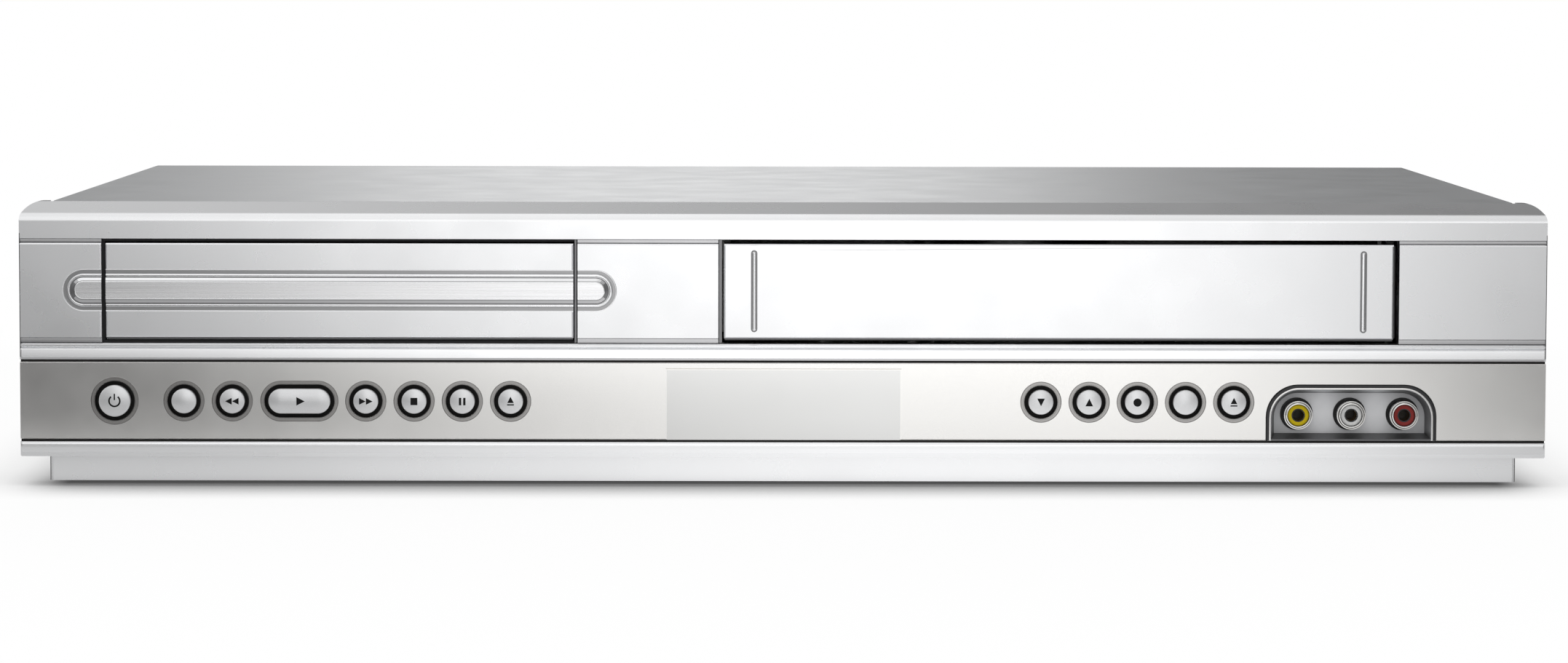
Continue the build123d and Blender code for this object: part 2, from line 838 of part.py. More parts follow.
# The tray gear: straight-flanked teeth over a belt pulley.
with BuildPart() as tray_gear:
    with BuildSketch(level(pulley_low)):
        Circle(pulley_radius)
        Circle(gear_bore, mode=Mode.SUBTRACT)
    extrude(amount=pulley_thick)
    with BuildSketch(level(pulley_low + pulley_thick)) as gear:
        flank = radians(20) - pi / (2 * gear_teeth)
        gear_root = gear_pitch_radius - dedendum
        gear_tip = gear_pitch_radius + addendum
        gear_root_half = (rack_pitch / 4 - tooth_slack + dedendum * tan(flank)) / gear_root
        gear_tip_half = (rack_pitch / 4 - tooth_slack - addendum * tan(flank)) / gear_tip
        gear_points = []
        for tooth in range(gear_teeth):
            turn = pi + 2 * pi * tooth / gear_teeth
            gear_points += [
                (gear_root * cos(turn - gear_root_half), gear_root * sin(turn - gear_root_half)),
                (gear_tip * cos(turn - gear_tip_half), gear_tip * sin(turn - gear_tip_half)),
                (gear_tip * cos(turn + gear_tip_half), gear_tip * sin(turn + gear_tip_half)),
                (gear_root * cos(turn + gear_root_half), gear_root * sin(turn + gear_root_half)),
            ]
        with BuildLine():
            Polyline(*gear_points, close=True)
        make_face()
        Circle(gear_bore, mode=Mode.SUBTRACT)
    extrude(amount=tray_bottom - gap - pulley_low - pulley_thick)
tray_gear.part.position = (gear_x, front + gear_back, 0)
save(tray_gear, "tray_gear")

# The loading motor hangs under the loader frame, with its shaft and pulley above.
with BuildPart() as loading_motor:
    with BuildSketch(level(loader_bottom - loading_motor_height)):
        with Locations((loading_motor_x, front + gear_back)):
            Circle(loading_motor_radius)
    extrude(amount=loading_motor_height)
    with BuildSketch(level(loader_bottom)):
        with Locations((loading_motor_x, front + gear_back)):
            Circle(motor_pulley_radius)
    extrude(amount=pulley_low + pulley_thick - loader_bottom)
save(loading_motor, "loading_motor")

# The loading belt: a flat loop round the two pulleys.
with BuildPart() as loading_belt:
    with BuildSketch(level(pulley_low + pulley_thick / 4)) as belt:
        with Locations((gear_x, front + gear_back)):
            Circle(pulley_radius + gap + belt_thick)
        with Locations((loading_motor_x, front + gear_back)):
            Circle(motor_pulley_radius + belt_thick)
        make_hull()
        with BuildSketch(mode=Mode.SUBTRACT):
            with Locations((gear_x, front + gear_back)):
                Circle(pulley_radius + gap)
            with Locations((loading_motor_x, front + gear_back)):
                Circle(motor_pulley_radius)
            make_hull()
    extrude(amount=pulley_thick / 2)
save(loading_belt, "loading_belt")

# The clamp bridge spans the loader above the tray and carries the clamper.
with BuildPart() as clamp_bridge:
    bridge_length = clamp_bridge_end - clamp_bridge_start
    with BuildSketch(face(clamp_bridge_start)) as bridge_view:
        with Locations((tray_middle, (loader_top + clamp_bridge_level + pan_sheet) / 2)):
            Rectangle(loader_outer, clamp_bridge_level + pan_sheet - loader_top)
        with Locations((tray_middle, (loader_top + clamp_bridge_level) / 2)):
            Rectangle(
                loader_outer - 2 * loader_wall,
                clamp_bridge_level - loader_top,
                mode=Mode.SUBTRACT,
            )
    extrude(amount=-bridge_length)
    with BuildSketch(level(clamp_bridge_level)):
        with Locations((tray_middle, front + disc_centre)):
            Circle(clamper_bore)
    extrude(amount=pan_sheet, mode=Mode.SUBTRACT)
save(clamp_bridge, "clamp_bridge")

# The clamper: a plug that turns in the bridge and presses the disc on the turntable.
with BuildPart() as disc_clamper:
    with BuildSketch(Plane.XZ):
        with BuildLine():
            Polyline(
                (0, clamper_low),
                (clamper_bore - gap, clamper_low),
                (clamper_bore - gap, clamp_bridge_level + pan_sheet + gap),
                (clamper_radius, clamp_bridge_level + pan_sheet + gap),
                (clamper_radius, clamp_bridge_level + 2 * pan_sheet + gap),
                (0, clamp_bridge_level + 2 * pan_sheet + gap),
                close=True,
            )
        make_face()
    revolve(axis=Axis.Z)
disc_clamper.part.position = (tray_middle, front + disc_centre, 0)
save(disc_clamper, "disc_clamper")

# The traverse frame: a plate with a window for the pickup and four lugs for its guide rods.
with BuildPart() as traverse_frame:
    with BuildSketch(level(traverse_level)):
        with Locations((tray_middle, front + (traverse_start + traverse_end) / 2)):
            Rectangle(2 * traverse_half, traverse_end - traverse_start)
        with Locations((tray_middle, front + (window_start + window_end) / 2)):
            Rectangle(2 * window_half, window_end - window_start, mode=Mode.SUBTRACT)
    extrude(amount=traverse_thick)
    lug_span = window_end - window_start + lug_thick
    with BuildSketch(level(traverse_level + traverse_thick)):
        with Locations((tray_middle, front + (window_start + window_end) / 2)):
            with GridLocations(2 * rod_offset, lug_span, 2, 2):
                Rectangle(4 * rod_radius, lug_thick)
    extrude(amount=rod_level + 2 * rod_radius - traverse_level - traverse_thick)
save(traverse_frame, "traverse_frame")

# The guide rods span from lug to lug.
with BuildPart() as guide_rods:
    with BuildSketch(face(window_start)):
        with Locations((tray_middle, rod_level)):
            with GridLocations(2 * rod_offset, 1, 2, 1):
                Circle(rod_radius)
    extrude(amount=-(window_end - window_start))
save(guide_rods, "guide_rods")

# The spindle motor stands on the traverse in front of the window, just below the turntable.
spindle_motor_high = turntable_high - turntable_flange - gap
with BuildPart() as spindle_motor:
    with BuildSketch(level(traverse_level + traverse_thick)):
        with Locations((tray_middle, front + disc_centre)):
            Circle(spindle_motor_radius)
    extrude(amount=spindle_motor_high - traverse_level - traverse_thick)
save(spindle_motor, "spindle_motor")

# The turntable: a flange that the disc rests on and a cone that centres its hole.
with BuildPart() as turntable:
    with BuildSketch(Plane.XZ):
        with BuildLine():
            Polyline(
                (0, turntable_high - turntable_flange),
                (turntable_radius, turntable_high - turntable_flange),
                (turntable_radius, turntable_high),
                (disc_bore / 2, turntable_high),
                (disc_bore / 2 - cone_rise / 2, turntable_high + cone_rise),
                (0, turntable_high + cone_rise),
                close=True,
            )
        make_face()
    revolve(axis=Axis.Z)
turntable.part.position = (tray_middle, front + disc_centre, 0)
save(turntable, "turntable")

# The pickup sled: a block that runs on both rods, with its lens on top.
with BuildPart() as pickup_sled:
    sled_middle = front + sled_back + sled_length / 2
    with BuildSketch(level(sled_low)) as sled_plan:
        with Locations((tray_middle, sled_middle)):
            Rectangle(2 * sled_half, sled_length)
        chamfer(sled_plan.vertices(), sled_chamfer)
    extrude(amount=sled_high - sled_low)
    with BuildSketch(level(sled_high)):
        with Locations((tray_middle, sled_middle)):
            Rectangle(4 * lens_radius, 3 * lens_radius)
            Circle(lens_radius - lens_rim, mode=Mode.SUBTRACT)
    extrude(amount=lens_rise)
    with BuildSketch(face(sled_back)):
        with Locations((tray_middle, rod_level)):
            with GridLocations(2 * rod_offset, 1, 2, 1):
                Circle(rod_radius + running_fit)
    extrude(amount=-sled_length, mode=Mode.SUBTRACT)
save(pickup_sled, "pickup_sled")

# The cassette flap: a panel with two upright ribs, and an ear at each end with a pin in the bezel.
pivot = (front + flap_pivot_back, bay_top + flap_pivot_rise)
with BuildPart() as cassette_flap:
    with BuildSketch(face(0)):
        with Locations((flap_middle, door_middle)):
            Rectangle(flap_width, door_height)
    extrude(amount=-flap_thick)
    chamfer(cassette_flap.faces().sort_by(Axis.Y)[0].edges(), edge_break)
    with BuildSketch(face(0)):
        with Locations((flap_middle, door_middle)):
            with GridLocations(flap_width - 2 * flap_rib_inset, 1, 2, 1):
                SlotOverall(flap_rib_height, flap_rib_width, rotation=90)
    extrude(amount=flap_rib_proud)
    with BuildSketch(face(flap_thick)):
        with Locations((flap_middle, door_bottom + 3 * flap_thick)):
            Rectangle(flap_width - 4 * flap_rib_inset, sheet)
    extrude(amount=-flap_thick)
    for side in (-1, 1):
        with BuildSketch(Plane.YZ.offset(flap_middle + side * flap_width / 2)):
            ear_front = pivot[0] - flap_pin - gap
            ear_back = pivot[0] + flap_pin + gap
            with BuildLine():
                Polyline(
                    (front + flap_thick / 2, door_top - 3 * flap_thick),
                    (front + flap_thick / 2, door_top - edge_break),
                    (ear_front, door_top - edge_break),
                    (ear_front, pivot[1] + flap_pin / 2),
                    (pivot[0], pivot[1] + flap_pin + gap),
                    (ear_back, pivot[1] + flap_pin / 2),
                    (ear_back, door_top - flap_thick),
                    close=True,
                )
            make_face()
        extrude(amount=-side * flap_ear)
        with BuildSketch(Plane.YZ.offset(flap_middle + side * flap_width / 2)):
            with Locations(pivot):
                Circle(flap_pin)
        extrude(amount=side * (flap_gap + wall - gap))
    with BuildSketch(Plane.YZ.offset(flap_middle - flap_width / 2 + flap_ear)):
        with Locations(pivot):
            Circle(flap_pin)
    extrude(amount=spring_length + gap)
save(cassette_flap, "cassette_flap")

# The flap spring: a close-wound coil round the flap's left pin, with a leg up behind the visor.
with BuildPart() as flap_spring:
    with BuildSketch(Plane.YZ.offset(flap_middle - flap_width / 2 + flap_ear + gap)):
        with Locations(pivot):
            Circle(flap_pin + spring_wire + gap / 2)
            Circle(flap_pin + gap / 2, mode=Mode.SUBTRACT)
    extrude(amount=spring_length - gap)
    with BuildSketch(Plane.YZ.offset(flap_middle - flap_width / 2 + flap_ear + gap)):
        with Locations((pivot[0] + flap_pin + gap, pivot[1] + spring_leg / 2)):
            Rectangle(spring_wire, spring_leg)
    extrude(amount=spring_wire)
save(flap_spring, "flap_spring")

# The deck chassis: a folded plate with a bearing for the capstan and a post for the pinch arm.
with BuildPart() as deck_chassis:
    deck_centre = (deck_start + deck_end) / 2
    with BuildSketch(level(deck_level)):
        with Locations((flap_middle, front + deck_centre)):
            Rectangle(2 * deck_half, deck_end - deck_start)
    extrude(amount=deck_sheet)
    with BuildSketch(level(deck_level)):
        with Locations((flap_middle, front + deck_centre)):
            with GridLocations(2 * deck_half - deck_sheet, 1, 2, 1):
                Rectangle(deck_sheet, deck_end - deck_start)
    extrude(amount=-deck_flange)
    with BuildSketch(level(deck_level - deck_sheet)):
        with Locations((capstan_x, front + capstan_back)):
            Rectangle(6 * capstan_radius, 6 * capstan_radius)
    extrude(amount=2 * deck_sheet)
    with BuildSketch(level(deck_level + deck_sheet)):
        with Locations((pinch_x, front + pinch_back)):
            Circle(pinch_pin)
    extrude(amount=capstan_high - deck_level - deck_sheet)
    with BuildSketch(level(deck_level - deck_sheet)):
        with Locations((capstan_x, front + capstan_back)):
            Circle(capstan_radius + running_fit)
    extrude(amount=2 * deck_sheet, mode=Mode.SUBTRACT)
save(deck_chassis, "deck_chassis")


# A stepped track for a carriage pin: straight back, then down at its end.
def carriage_track(start, rise):
    with Locations((front + start + carriage_travel / 2, rise)):
        Rectangle(carriage_travel + track_width, track_width, mode=Mode.SUBTRACT)
    with Locations((front + start + carriage_travel, rise - carriage_drop / 2)):
        Rectangle(track_width, carriage_drop + track_width, mode=Mode.SUBTRACT)


# The carriage guides: two upright plates with tracks, tied by a bar across the top.
front_pin = carriage_start + track_inset
rear_pin = carriage_start + carriage_depth - track_inset
guide_low = deck_level + deck_sheet
with BuildPart() as carriage_guides:
    for side in (-1, 1):
        with BuildSketch(Plane.YZ.offset(flap_middle + side * deck_half)):
            with Locations((front + (deck_start + guide_end) / 2, (guide_low + guide_top) / 2)):
                Rectangle(guide_end - deck_start, guide_top - guide_low)
            carriage_track(front_pin, track_low)
            carriage_track(rear_pin, track_high)
        extrude(amount=-side * guide_sheet)
    with BuildSketch(level(guide_top - guide_sheet)):
        with Locations((flap_middle, front + guide_end - track_inset)):
            Rectangle(2 * deck_half, track_inset)
    extrude(amount=guide_sheet)
save(carriage_guides, "carriage_guides")

# The cassette carriage: a folded tray that takes the cassette, with leaves over its edges, stops at the
# back and four track pins.
carriage_inner = cassette_width / 2 + carriage_play / 2
carriage_outer = carriage_inner + carriage_sheet
carriage_top = carriage_level + 2 * carriage_sheet + cassette_height + carriage_play
with BuildPart() as cassette_carriage:
    with BuildSketch(face(carriage_start)):
        with Locations((flap_middle, (carriage_level + carriage_top) / 2)):
            Rectangle(2 * carriage_outer, carriage_top - carriage_level)
            Rectangle(
                2 * carriage_inner,
                carriage_top - carriage_level - 2 * carriage_sheet,
                mode=Mode.SUBTRACT,
            )
        with Locations((flap_middle, carriage_top - carriage_sheet / 2)):
            Rectangle(2 * (carriage_inner - carriage_leaf), carriage_sheet, mode=Mode.SUBTRACT)
    extrude(amount=-carriage_depth)
    with BuildSketch(face(carriage_start + carriage_depth - carriage_sheet)):
        with Locations((flap_middle, carriage_level + carriage_sheet + carriage_stop / 2)):
            with GridLocations(2 * carriage_inner - carriage_leaf, 1, 2, 1):
                Rectangle(carriage_leaf, carriage_stop)
    extrude(amount=-carriage_sheet)
    with BuildSketch(level(carriage_level)):
        with Locations((flap_middle, front + carriage_start)):
            Rectangle(2 * (carriage_inner - carriage_leaf), 2 * track_inset)
    extrude(amount=carriage_sheet, mode=Mode.SUBTRACT)
    for side in (-1, 1):
        with BuildSketch(Plane.YZ.offset(flap_middle + side * carriage_outer)):
            for place, rise in ((front_pin, track_low), (rear_pin, track_high)):
                with Locations((front + place, rise)):
                    Circle(track_pin)
        extrude(amount=side * (deck_half - carriage_outer))
save(cassette_carriage, "cassette_carriage")


# A reel table: a flange and a six-pointed hub that drives the cassette's reel.
def reel_table(middle):
    low = deck_level + deck_sheet + gap
    with BuildPart() as table:
        with BuildSketch(level(low)):
            with Locations((middle, front + reel_back)):
                Circle(reel_radius)
        extrude(amount=reel_thick)
        with BuildSketch(level(low + reel_thick)):
            with Locations((middle, front + reel_back)):
                RegularPolygon(reel_hub, 6)
                with PolarLocations(reel_hub, 6):
                    Rectangle(reel_spline, reel_spline)
        extrude(amount=reel_high - low - reel_thick)
    return table


supply_reel = reel_table(flap_middle - reel_spacing / 2)
save(supply_reel, "supply_reel")
takeup_reel = reel_table(flap_middle + reel_spacing / 2)
save(takeup_reel, "takeup_reel")

# The drum: a fixed lower half on a round foot, and an upper half that spins on the same tilted axis.
drum_plane = Plane(
    origin=(drum_x, front + drum_back, drum_level),
    x_dir=(1, 0, 0),
    z_dir=(0, sin(radians(drum_tilt)), cos(radians(drum_tilt))),
)
with BuildPart() as drum_base:
    with BuildSketch(level(deck_level + deck_sheet)):
        with Locations((drum_x, front + drum_back)):
            Rectangle(2 * drum_foot, drum_foot)
    extrude(amount=drum_level + drum_lower / 2 - deck_level - deck_sheet)
    with BuildSketch(drum_plane):
        Circle(drum_radius)
    extrude(amount=drum_lower)
save(drum_base, "drum_base")

with BuildPart() as head_drum:
    with BuildSketch(drum_plane.offset(drum_lower + gap)):
        Circle(drum_radius)
    extrude(amount=drum_upper)
save(head_drum, "head_drum")

# The capstan: a thin shaft through the chassis with a flywheel under it.
with BuildPart() as capstan:
    with BuildSketch(level(flywheel_low)):
        with Locations((capstan_x, front + capstan_back)):
            Circle(flywheel_radius)
    extrude(amount=flywheel_thick)
    with BuildSketch(level(flywheel_low)):
        with Locations((capstan_x, front + capstan_back)):
            Circle(capstan_radius)
    extrude(amount=capstan_high - flywheel_low)
save(capstan, "capstan")

# The pinch arm: a lever on a fixed post with a rubber roller at its end. It rests away from the capstan
# and swings until the roller is a hair from it.
reach_x = capstan_x - pinch_x
reach_y = capstan_back - pinch_back
reach = (reach_x**2 + reach_y**2) ** 0.5
near = capstan_radius + pinch_roller + gap
spread = degrees(acos((pinch_length**2 + reach**2 - near**2) / (2 * pinch_length * reach)))
closed_turn = degrees(atan2(reach_y, reach_x)) - spread
pinch_turn = closed_turn - pinch_swing
arm_plane = Plane(
    origin=(pinch_x, front + pinch_back, deck_level + deck_sheet + gap),
    x_dir=(cos(radians(pinch_turn)), sin(radians(pinch_turn)), 0),
    z_dir=(0, 0, 1),
)
with BuildPart() as pinch_arm:
    with BuildSketch(arm_plane):
        with Locations((pinch_length / 2, 0)):
            Rectangle(pinch_length + 4 * pinch_pin, 4 * pinch_pin)
    extrude(amount=reel_thick)
    with BuildSketch(arm_plane.offset(reel_thick)):
        with Locations((pinch_length, 0)):
            Circle(pinch_roller)
    extrude(amount=capstan_high - deck_level - deck_sheet - gap - reel_thick)
    with BuildSketch(arm_plane):
        Circle(pinch_pin + running_fit)
    extrude(amount=reel_thick, mode=Mode.SUBTRACT)
save(pinch_arm, "pinch_arm")

# The guide posts: two rollers on shoes that draw the tape round the drum.
with BuildPart() as guide_posts:
    with BuildSketch(level(deck_level + deck_sheet)):
        with Locations((flap_middle, front + guide_back)):
            with GridLocations(guide_spread, 1, 2, 1):
                Rectangle(guide_shoe, guide_shoe_depth)
    extrude(amount=reel_thick)
    with BuildSketch(level(deck_level + deck_sheet + reel_thick)):
        with Locations((flap_middle, front + guide_back)):
            with GridLocations(guide_spread, 1, 2, 1):
                Circle(guide_roller)
    extrude(amount=capstan_high - deck_level - deck_sheet - reel_thick)
save(guide_posts, "guide_posts")

# The bottom pan: a sheet with side flanges and a tongue that reaches forward inside the plinth.
tongue_start = plinth_setback + wall + gap
with BuildPart() as bottom_pan:
    with BuildSketch(level(pan_bottom)):
        with Locations((0, front + (pan_start + body_depth) / 2)):
            Rectangle(2 * pan_half, body_depth - pan_start)
        with Locations((0, front + (tongue_start + pan_start) / 2)):
            Rectangle(2 * (cover_half - wall - gap), pan_start - tongue_start)
    extrude(amount=pan_sheet)
    with BuildSketch(level(pan_top)):
        with Locations((0, front + (pan_start + body_depth - pan_sheet - gap) / 2)):
            with GridLocations(2 * pan_half - pan_sheet, 1, 2, 1):
                Rectangle(pan_sheet, body_depth - pan_sheet - gap - pan_start)
    extrude(amount=pan_flange)
save(bottom_pan, "bottom_pan")

# The posts on the pan carry the loader, the deck and the main board.
with BuildPart() as pan_posts:
    with BuildSketch(level(pan_top)):
        with Locations((tray_middle, front + loader_centre)):
            with GridLocations(loader_post_x, loader_post_y, 2, 2):
                Rectangle(post_side, post_side)
    extrude(amount=loader_bottom - pan_top)
    with BuildSketch(level(pan_top)):
        with Locations((flap_middle, front + deck_centre)):
            with GridLocations(deck_post_x, deck_post_y, 2, 2):
                Rectangle(post_side, post_side)
    extrude(amount=deck_level - pan_top)
    with BuildSketch(level(pan_top)):
        with Locations((0, front + body_depth / 2)):
            with GridLocations(board_post_x, board_post_y, 2, 2):
                Rectangle(post_side, post_side)
    extrude(amount=board_level - pan_top)
save(pan_posts, "pan_posts")

# The feet: four short rubber cylinders.
with BuildPart() as feet:
    with BuildSketch():
        with Locations((0, front + body_depth / 2)):
            with GridLocations(foot_spacing_x, body_depth - 2 * foot_inset_y, 2, 2):
                Circle(foot_radius)
    extrude(amount=pan_bottom)
save(feet, "feet")

# The main board, with its larger chips and holes for the posts that pass it.
with BuildPart() as main_board:
    board_end = body_depth - pan_sheet - board_edge
    with BuildSketch(level(board_level)):
        with Locations((0, front + (board_start + board_end) / 2)):
            Rectangle(2 * (pan_half - board_edge), board_end - board_start)
        with Locations((tray_middle, front + loader_centre)):
            with GridLocations(loader_post_x, loader_post_y, 2, 2):
                Rectangle(post_hole, post_hole, mode=Mode.SUBTRACT)
        with Locations((flap_middle, front + deck_centre)):
            with GridLocations(deck_post_x, deck_post_y, 2, 2):
                Rectangle(post_hole, post_hole, mode=Mode.SUBTRACT)
    extrude(amount=board_thick)
    with BuildSketch(level(board_top)):
        with Locations((tray_middle, front + chip_back)):
            with GridLocations(chip_pitch_x, chip_pitch_y, 2, 2):
                Rectangle(chip_side, chip_side)
        with Locations((flap_middle, front + disc_centre)):
            Rectangle(tape_chip_width, tape_chip_depth)
    extrude(amount=chip_thick)
save(main_board, "main_board")

# The power parts at the left of the board: a transformer, three capacitors and a finned heat sink.
with BuildPart() as power_parts:
    with BuildSketch(level(board_top)):
        with Locations((transformer_x, front + transformer_back)):
            Rectangle(transformer_foot, transformer_depth)
    extrude(amount=transformer_step)
    with BuildSketch(level(board_top + transformer_step)):
        with Locations((transformer_x, front + transformer_back)):
            Rectangle(transformer_core, transformer_depth)
    extrude(amount=transformer_rise - transformer_step)
    for middle, radius, rise in capacitors:
        with BuildSketch(level(board_top)):
            with Locations((middle, front + transformer_back)):
                Circle(radius)
        extrude(amount=rise)
    with BuildSketch(level(board_top)):
        with Locations((heat_sink_x, front + transformer_back)):
            Rectangle(heat_sink_width, heat_sink_web)
            with GridLocations(heat_sink_pitch, 1, heat_sink_fins, 1):
                Rectangle(heat_sink_fin, heat_sink_depth)
    extrude(amount=heat_sink_rise)
save(power_parts, "power_parts")

# The rear sockets stand behind holes in the rear panel: round ones in three blocks, two wide ones with a
# contact tongue, two aerial sockets on a screened tuner, and a gland for the mains cord.
rear_block_start = body_depth - pan_sheet - rear_block_depth
with BuildPart() as rear_jacks:
    with BuildSketch(face(rear_block_start)):
        with Locations((rear_jack_x, (board_top + rear_jack_level + rear_jack_pitch / 2) / 2)):
            with GridLocations(rear_jack_pitch, 1, rear_jack_columns, 1):
                Rectangle(
                    rear_jack_pitch - gap,
                    rear_jack_level + rear_jack_pitch / 2 - board_top,
                )
    extrude(amount=-(rear_block_depth + pan_sheet))
    with BuildSketch(face(body_depth)):
        with Locations((rear_jack_x, rear_jack_level)):
            with GridLocations(rear_jack_pitch, 1, rear_jack_columns, 1):
                Circle(jack_radius)
    extrude(amount=-socket_proud)
    with BuildSketch(face(body_depth + socket_proud)):
        with Locations((rear_jack_x, rear_jack_level)):
            with GridLocations(rear_jack_pitch, 1, rear_jack_columns, 1):
                Circle(jack_hole)
    extrude(amount=socket_proud + pan_sheet + rear_block_depth, mode=Mode.SUBTRACT)
save(rear_jacks, "rear_jacks")

with BuildPart() as scart_sockets:
    scart_middle = board_top + scart_height / 2 + scart_pitch / 2
    scart_back = body_depth + scart_proud
    with BuildSketch(face(rear_block_start)):
        with Locations((scart_x, scart_middle)):
            with GridLocations(1, scart_pitch, 1, 2):
                Rectangle(scart_width, scart_height)
            Rectangle(scart_width - 2 * scart_web, scart_pitch)
    extrude(amount=-rear_block_depth)
    with BuildSketch(face(body_depth - pan_sheet)):
        with Locations((scart_x, scart_middle)):
            with GridLocations(1, scart_pitch, 1, 2):
                Rectangle(scart_width, scart_height)
    extrude(amount=-(scart_proud + pan_sheet))
    with BuildSketch(face(scart_back)):
        with Locations((scart_x, scart_middle)):
            with GridLocations(1, scart_pitch, 1, 2):
                Rectangle(scart_width - 2 * scart_edge, scart_height - 2 * scart_edge)
                Rectangle(
                    scart_width - 2 * (scart_edge + scart_slot),
                    scart_height - 2 * (scart_edge + scart_slot),
                    mode=Mode.SUBTRACT,
                )
    extrude(amount=rear_block_depth, mode=Mode.SUBTRACT)
save(scart_sockets, "scart_sockets")

with BuildPart() as tuner_module:
    with BuildSketch(face(body_depth - pan_sheet - tuner_depth)):
        with Locations((tuner_x, (board_top + tuner_high) / 2)):
            Rectangle(tuner_width, tuner_high - board_top)
    extrude(amount=-tuner_depth)
    with BuildSketch(face(body_depth - pan_sheet)):
        with Locations((tuner_x, aerial_level)):
            Rectangle(aerial_plate, 2 * aerial_plate)
    extrude(amount=-pan_sheet)
    with BuildSketch(face(body_depth)):
        with Locations((tuner_x, aerial_level)):
            with GridLocations(1, aerial_plate, 1, 2):
                Circle(aerial_radius)
    extrude(amount=-socket_proud)
    with BuildSketch(face(body_depth + socket_proud)):
        with Locations((tuner_x, aerial_level)):
            with GridLocations(1, aerial_plate, 1, 2):
                Circle(aerial_bore)
    extrude(amount=aerial_hole, mode=Mode.SUBTRACT)
save(tuner_module, "tuner_module")

with BuildPart() as cord_gland:
    with BuildSketch(face(body_depth - pan_sheet)):
        with Locations((gland_x, gland_level)):
            Rectangle(2 * (gland_radius - gap), 2 * (gland_radius - gap))
    extrude(amount=-pan_sheet)
    with BuildSketch(face(body_depth)):
        with Locations((gland_x, gland_level)):
            Circle(gland_radius + gland_flange)
    extrude(amount=-socket_proud / 2)
    with BuildSketch(face(body_depth - pan_sheet)):
        with Locations((gland_x, gland_level)):
            Circle(gland_bore)
    extrude(amount=-socket_proud, mode=Mode.SUBTRACT)
save(cord_gland, "cord_gland")

# The rear panel, with a hole for each socket and a row of upright vents.
with BuildPart() as rear_panel:
    panel_top = height - sheet - gap
    with BuildSketch(face(body_depth - pan_sheet)) as panel_plan:
        with Locations((0, (pan_top + panel_top) / 2)):
            Rectangle(2 * pan_half, panel_top - pan_top)
        fillet(panel_plan.vertices().group_by(Axis.Y)[-1], cover_bend)
        with Locations((rear_jack_x, (board_top + rear_jack_level + rear_jack_pitch / 2) / 2)):
            Rectangle(
                rear_jack_columns * rear_jack_pitch + 2 * gap,
                rear_jack_level + rear_jack_pitch / 2 - board_top + 2 * gap,
                mode=Mode.SUBTRACT,
            )
        with Locations((scart_x, scart_middle)):
            with GridLocations(1, scart_pitch, 1, 2):
                Rectangle(scart_width + 2 * gap, scart_height + 2 * gap, mode=Mode.SUBTRACT)
        with Locations((tuner_x, aerial_level)):
            Rectangle(aerial_plate + 2 * gap, 2 * (aerial_plate + gap), mode=Mode.SUBTRACT)
        with Locations((gland_x, gland_level)):
            Rectangle(2 * gland_radius, 2 * gland_radius, mode=Mode.SUBTRACT)
        with Locations((transformer_x + vent_count * vent_pitch / 2, height / 2 + vent_height / 3)):
            with GridLocations(vent_pitch, 1, vent_count, 1):
                Rectangle(vent_width, vent_height, mode=Mode.SUBTRACT)
    extrude(amount=-pan_sheet)
save(rear_panel, "rear_panel")

# The top cover: one folded sheet over the top and both sides. Its top edge laps onto the bezel's shelf.
cover_foot = lip_bottom + gap
side_start = bezel_depth + gap
with BuildPart() as top_cover:
    with BuildSketch(face(bezel_top_run + gap)):
        with BuildLine():
            outer = FilletPolyline(
                (-cover_half, cover_foot),
                (-cover_half, height),
                (cover_half, height),
                (cover_half, cover_foot),
                radius=cover_bend,
            )
            inner = FilletPolyline(
                (-cover_half + sheet, cover_foot),
                (-cover_half + sheet, height - sheet),
                (cover_half - sheet, height - sheet),
                (cover_half - sheet, cover_foot),
                radius=cover_bend - sheet,
            )
            Line(outer @ 0, inner @ 0)
            Line(outer @ 1, inner @ 1)
        make_face()
    extrude(amount=-(body_depth - bezel_top_run - gap))
    # The sides start behind the bezel, and only the top reaches forward over its shelf.
    with BuildSketch(Plane.YZ):
        with Locations((front + (bezel_top_run + side_start) / 2, (cover_foot + height - sheet) / 2)):
            Rectangle(side_start - bezel_top_run, height - sheet - cover_foot)
    extrude(amount=cover_half, both=True, mode=Mode.SUBTRACT)
save(top_cover, "top_cover")
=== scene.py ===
from math import cos, pi, radians, sin, tan

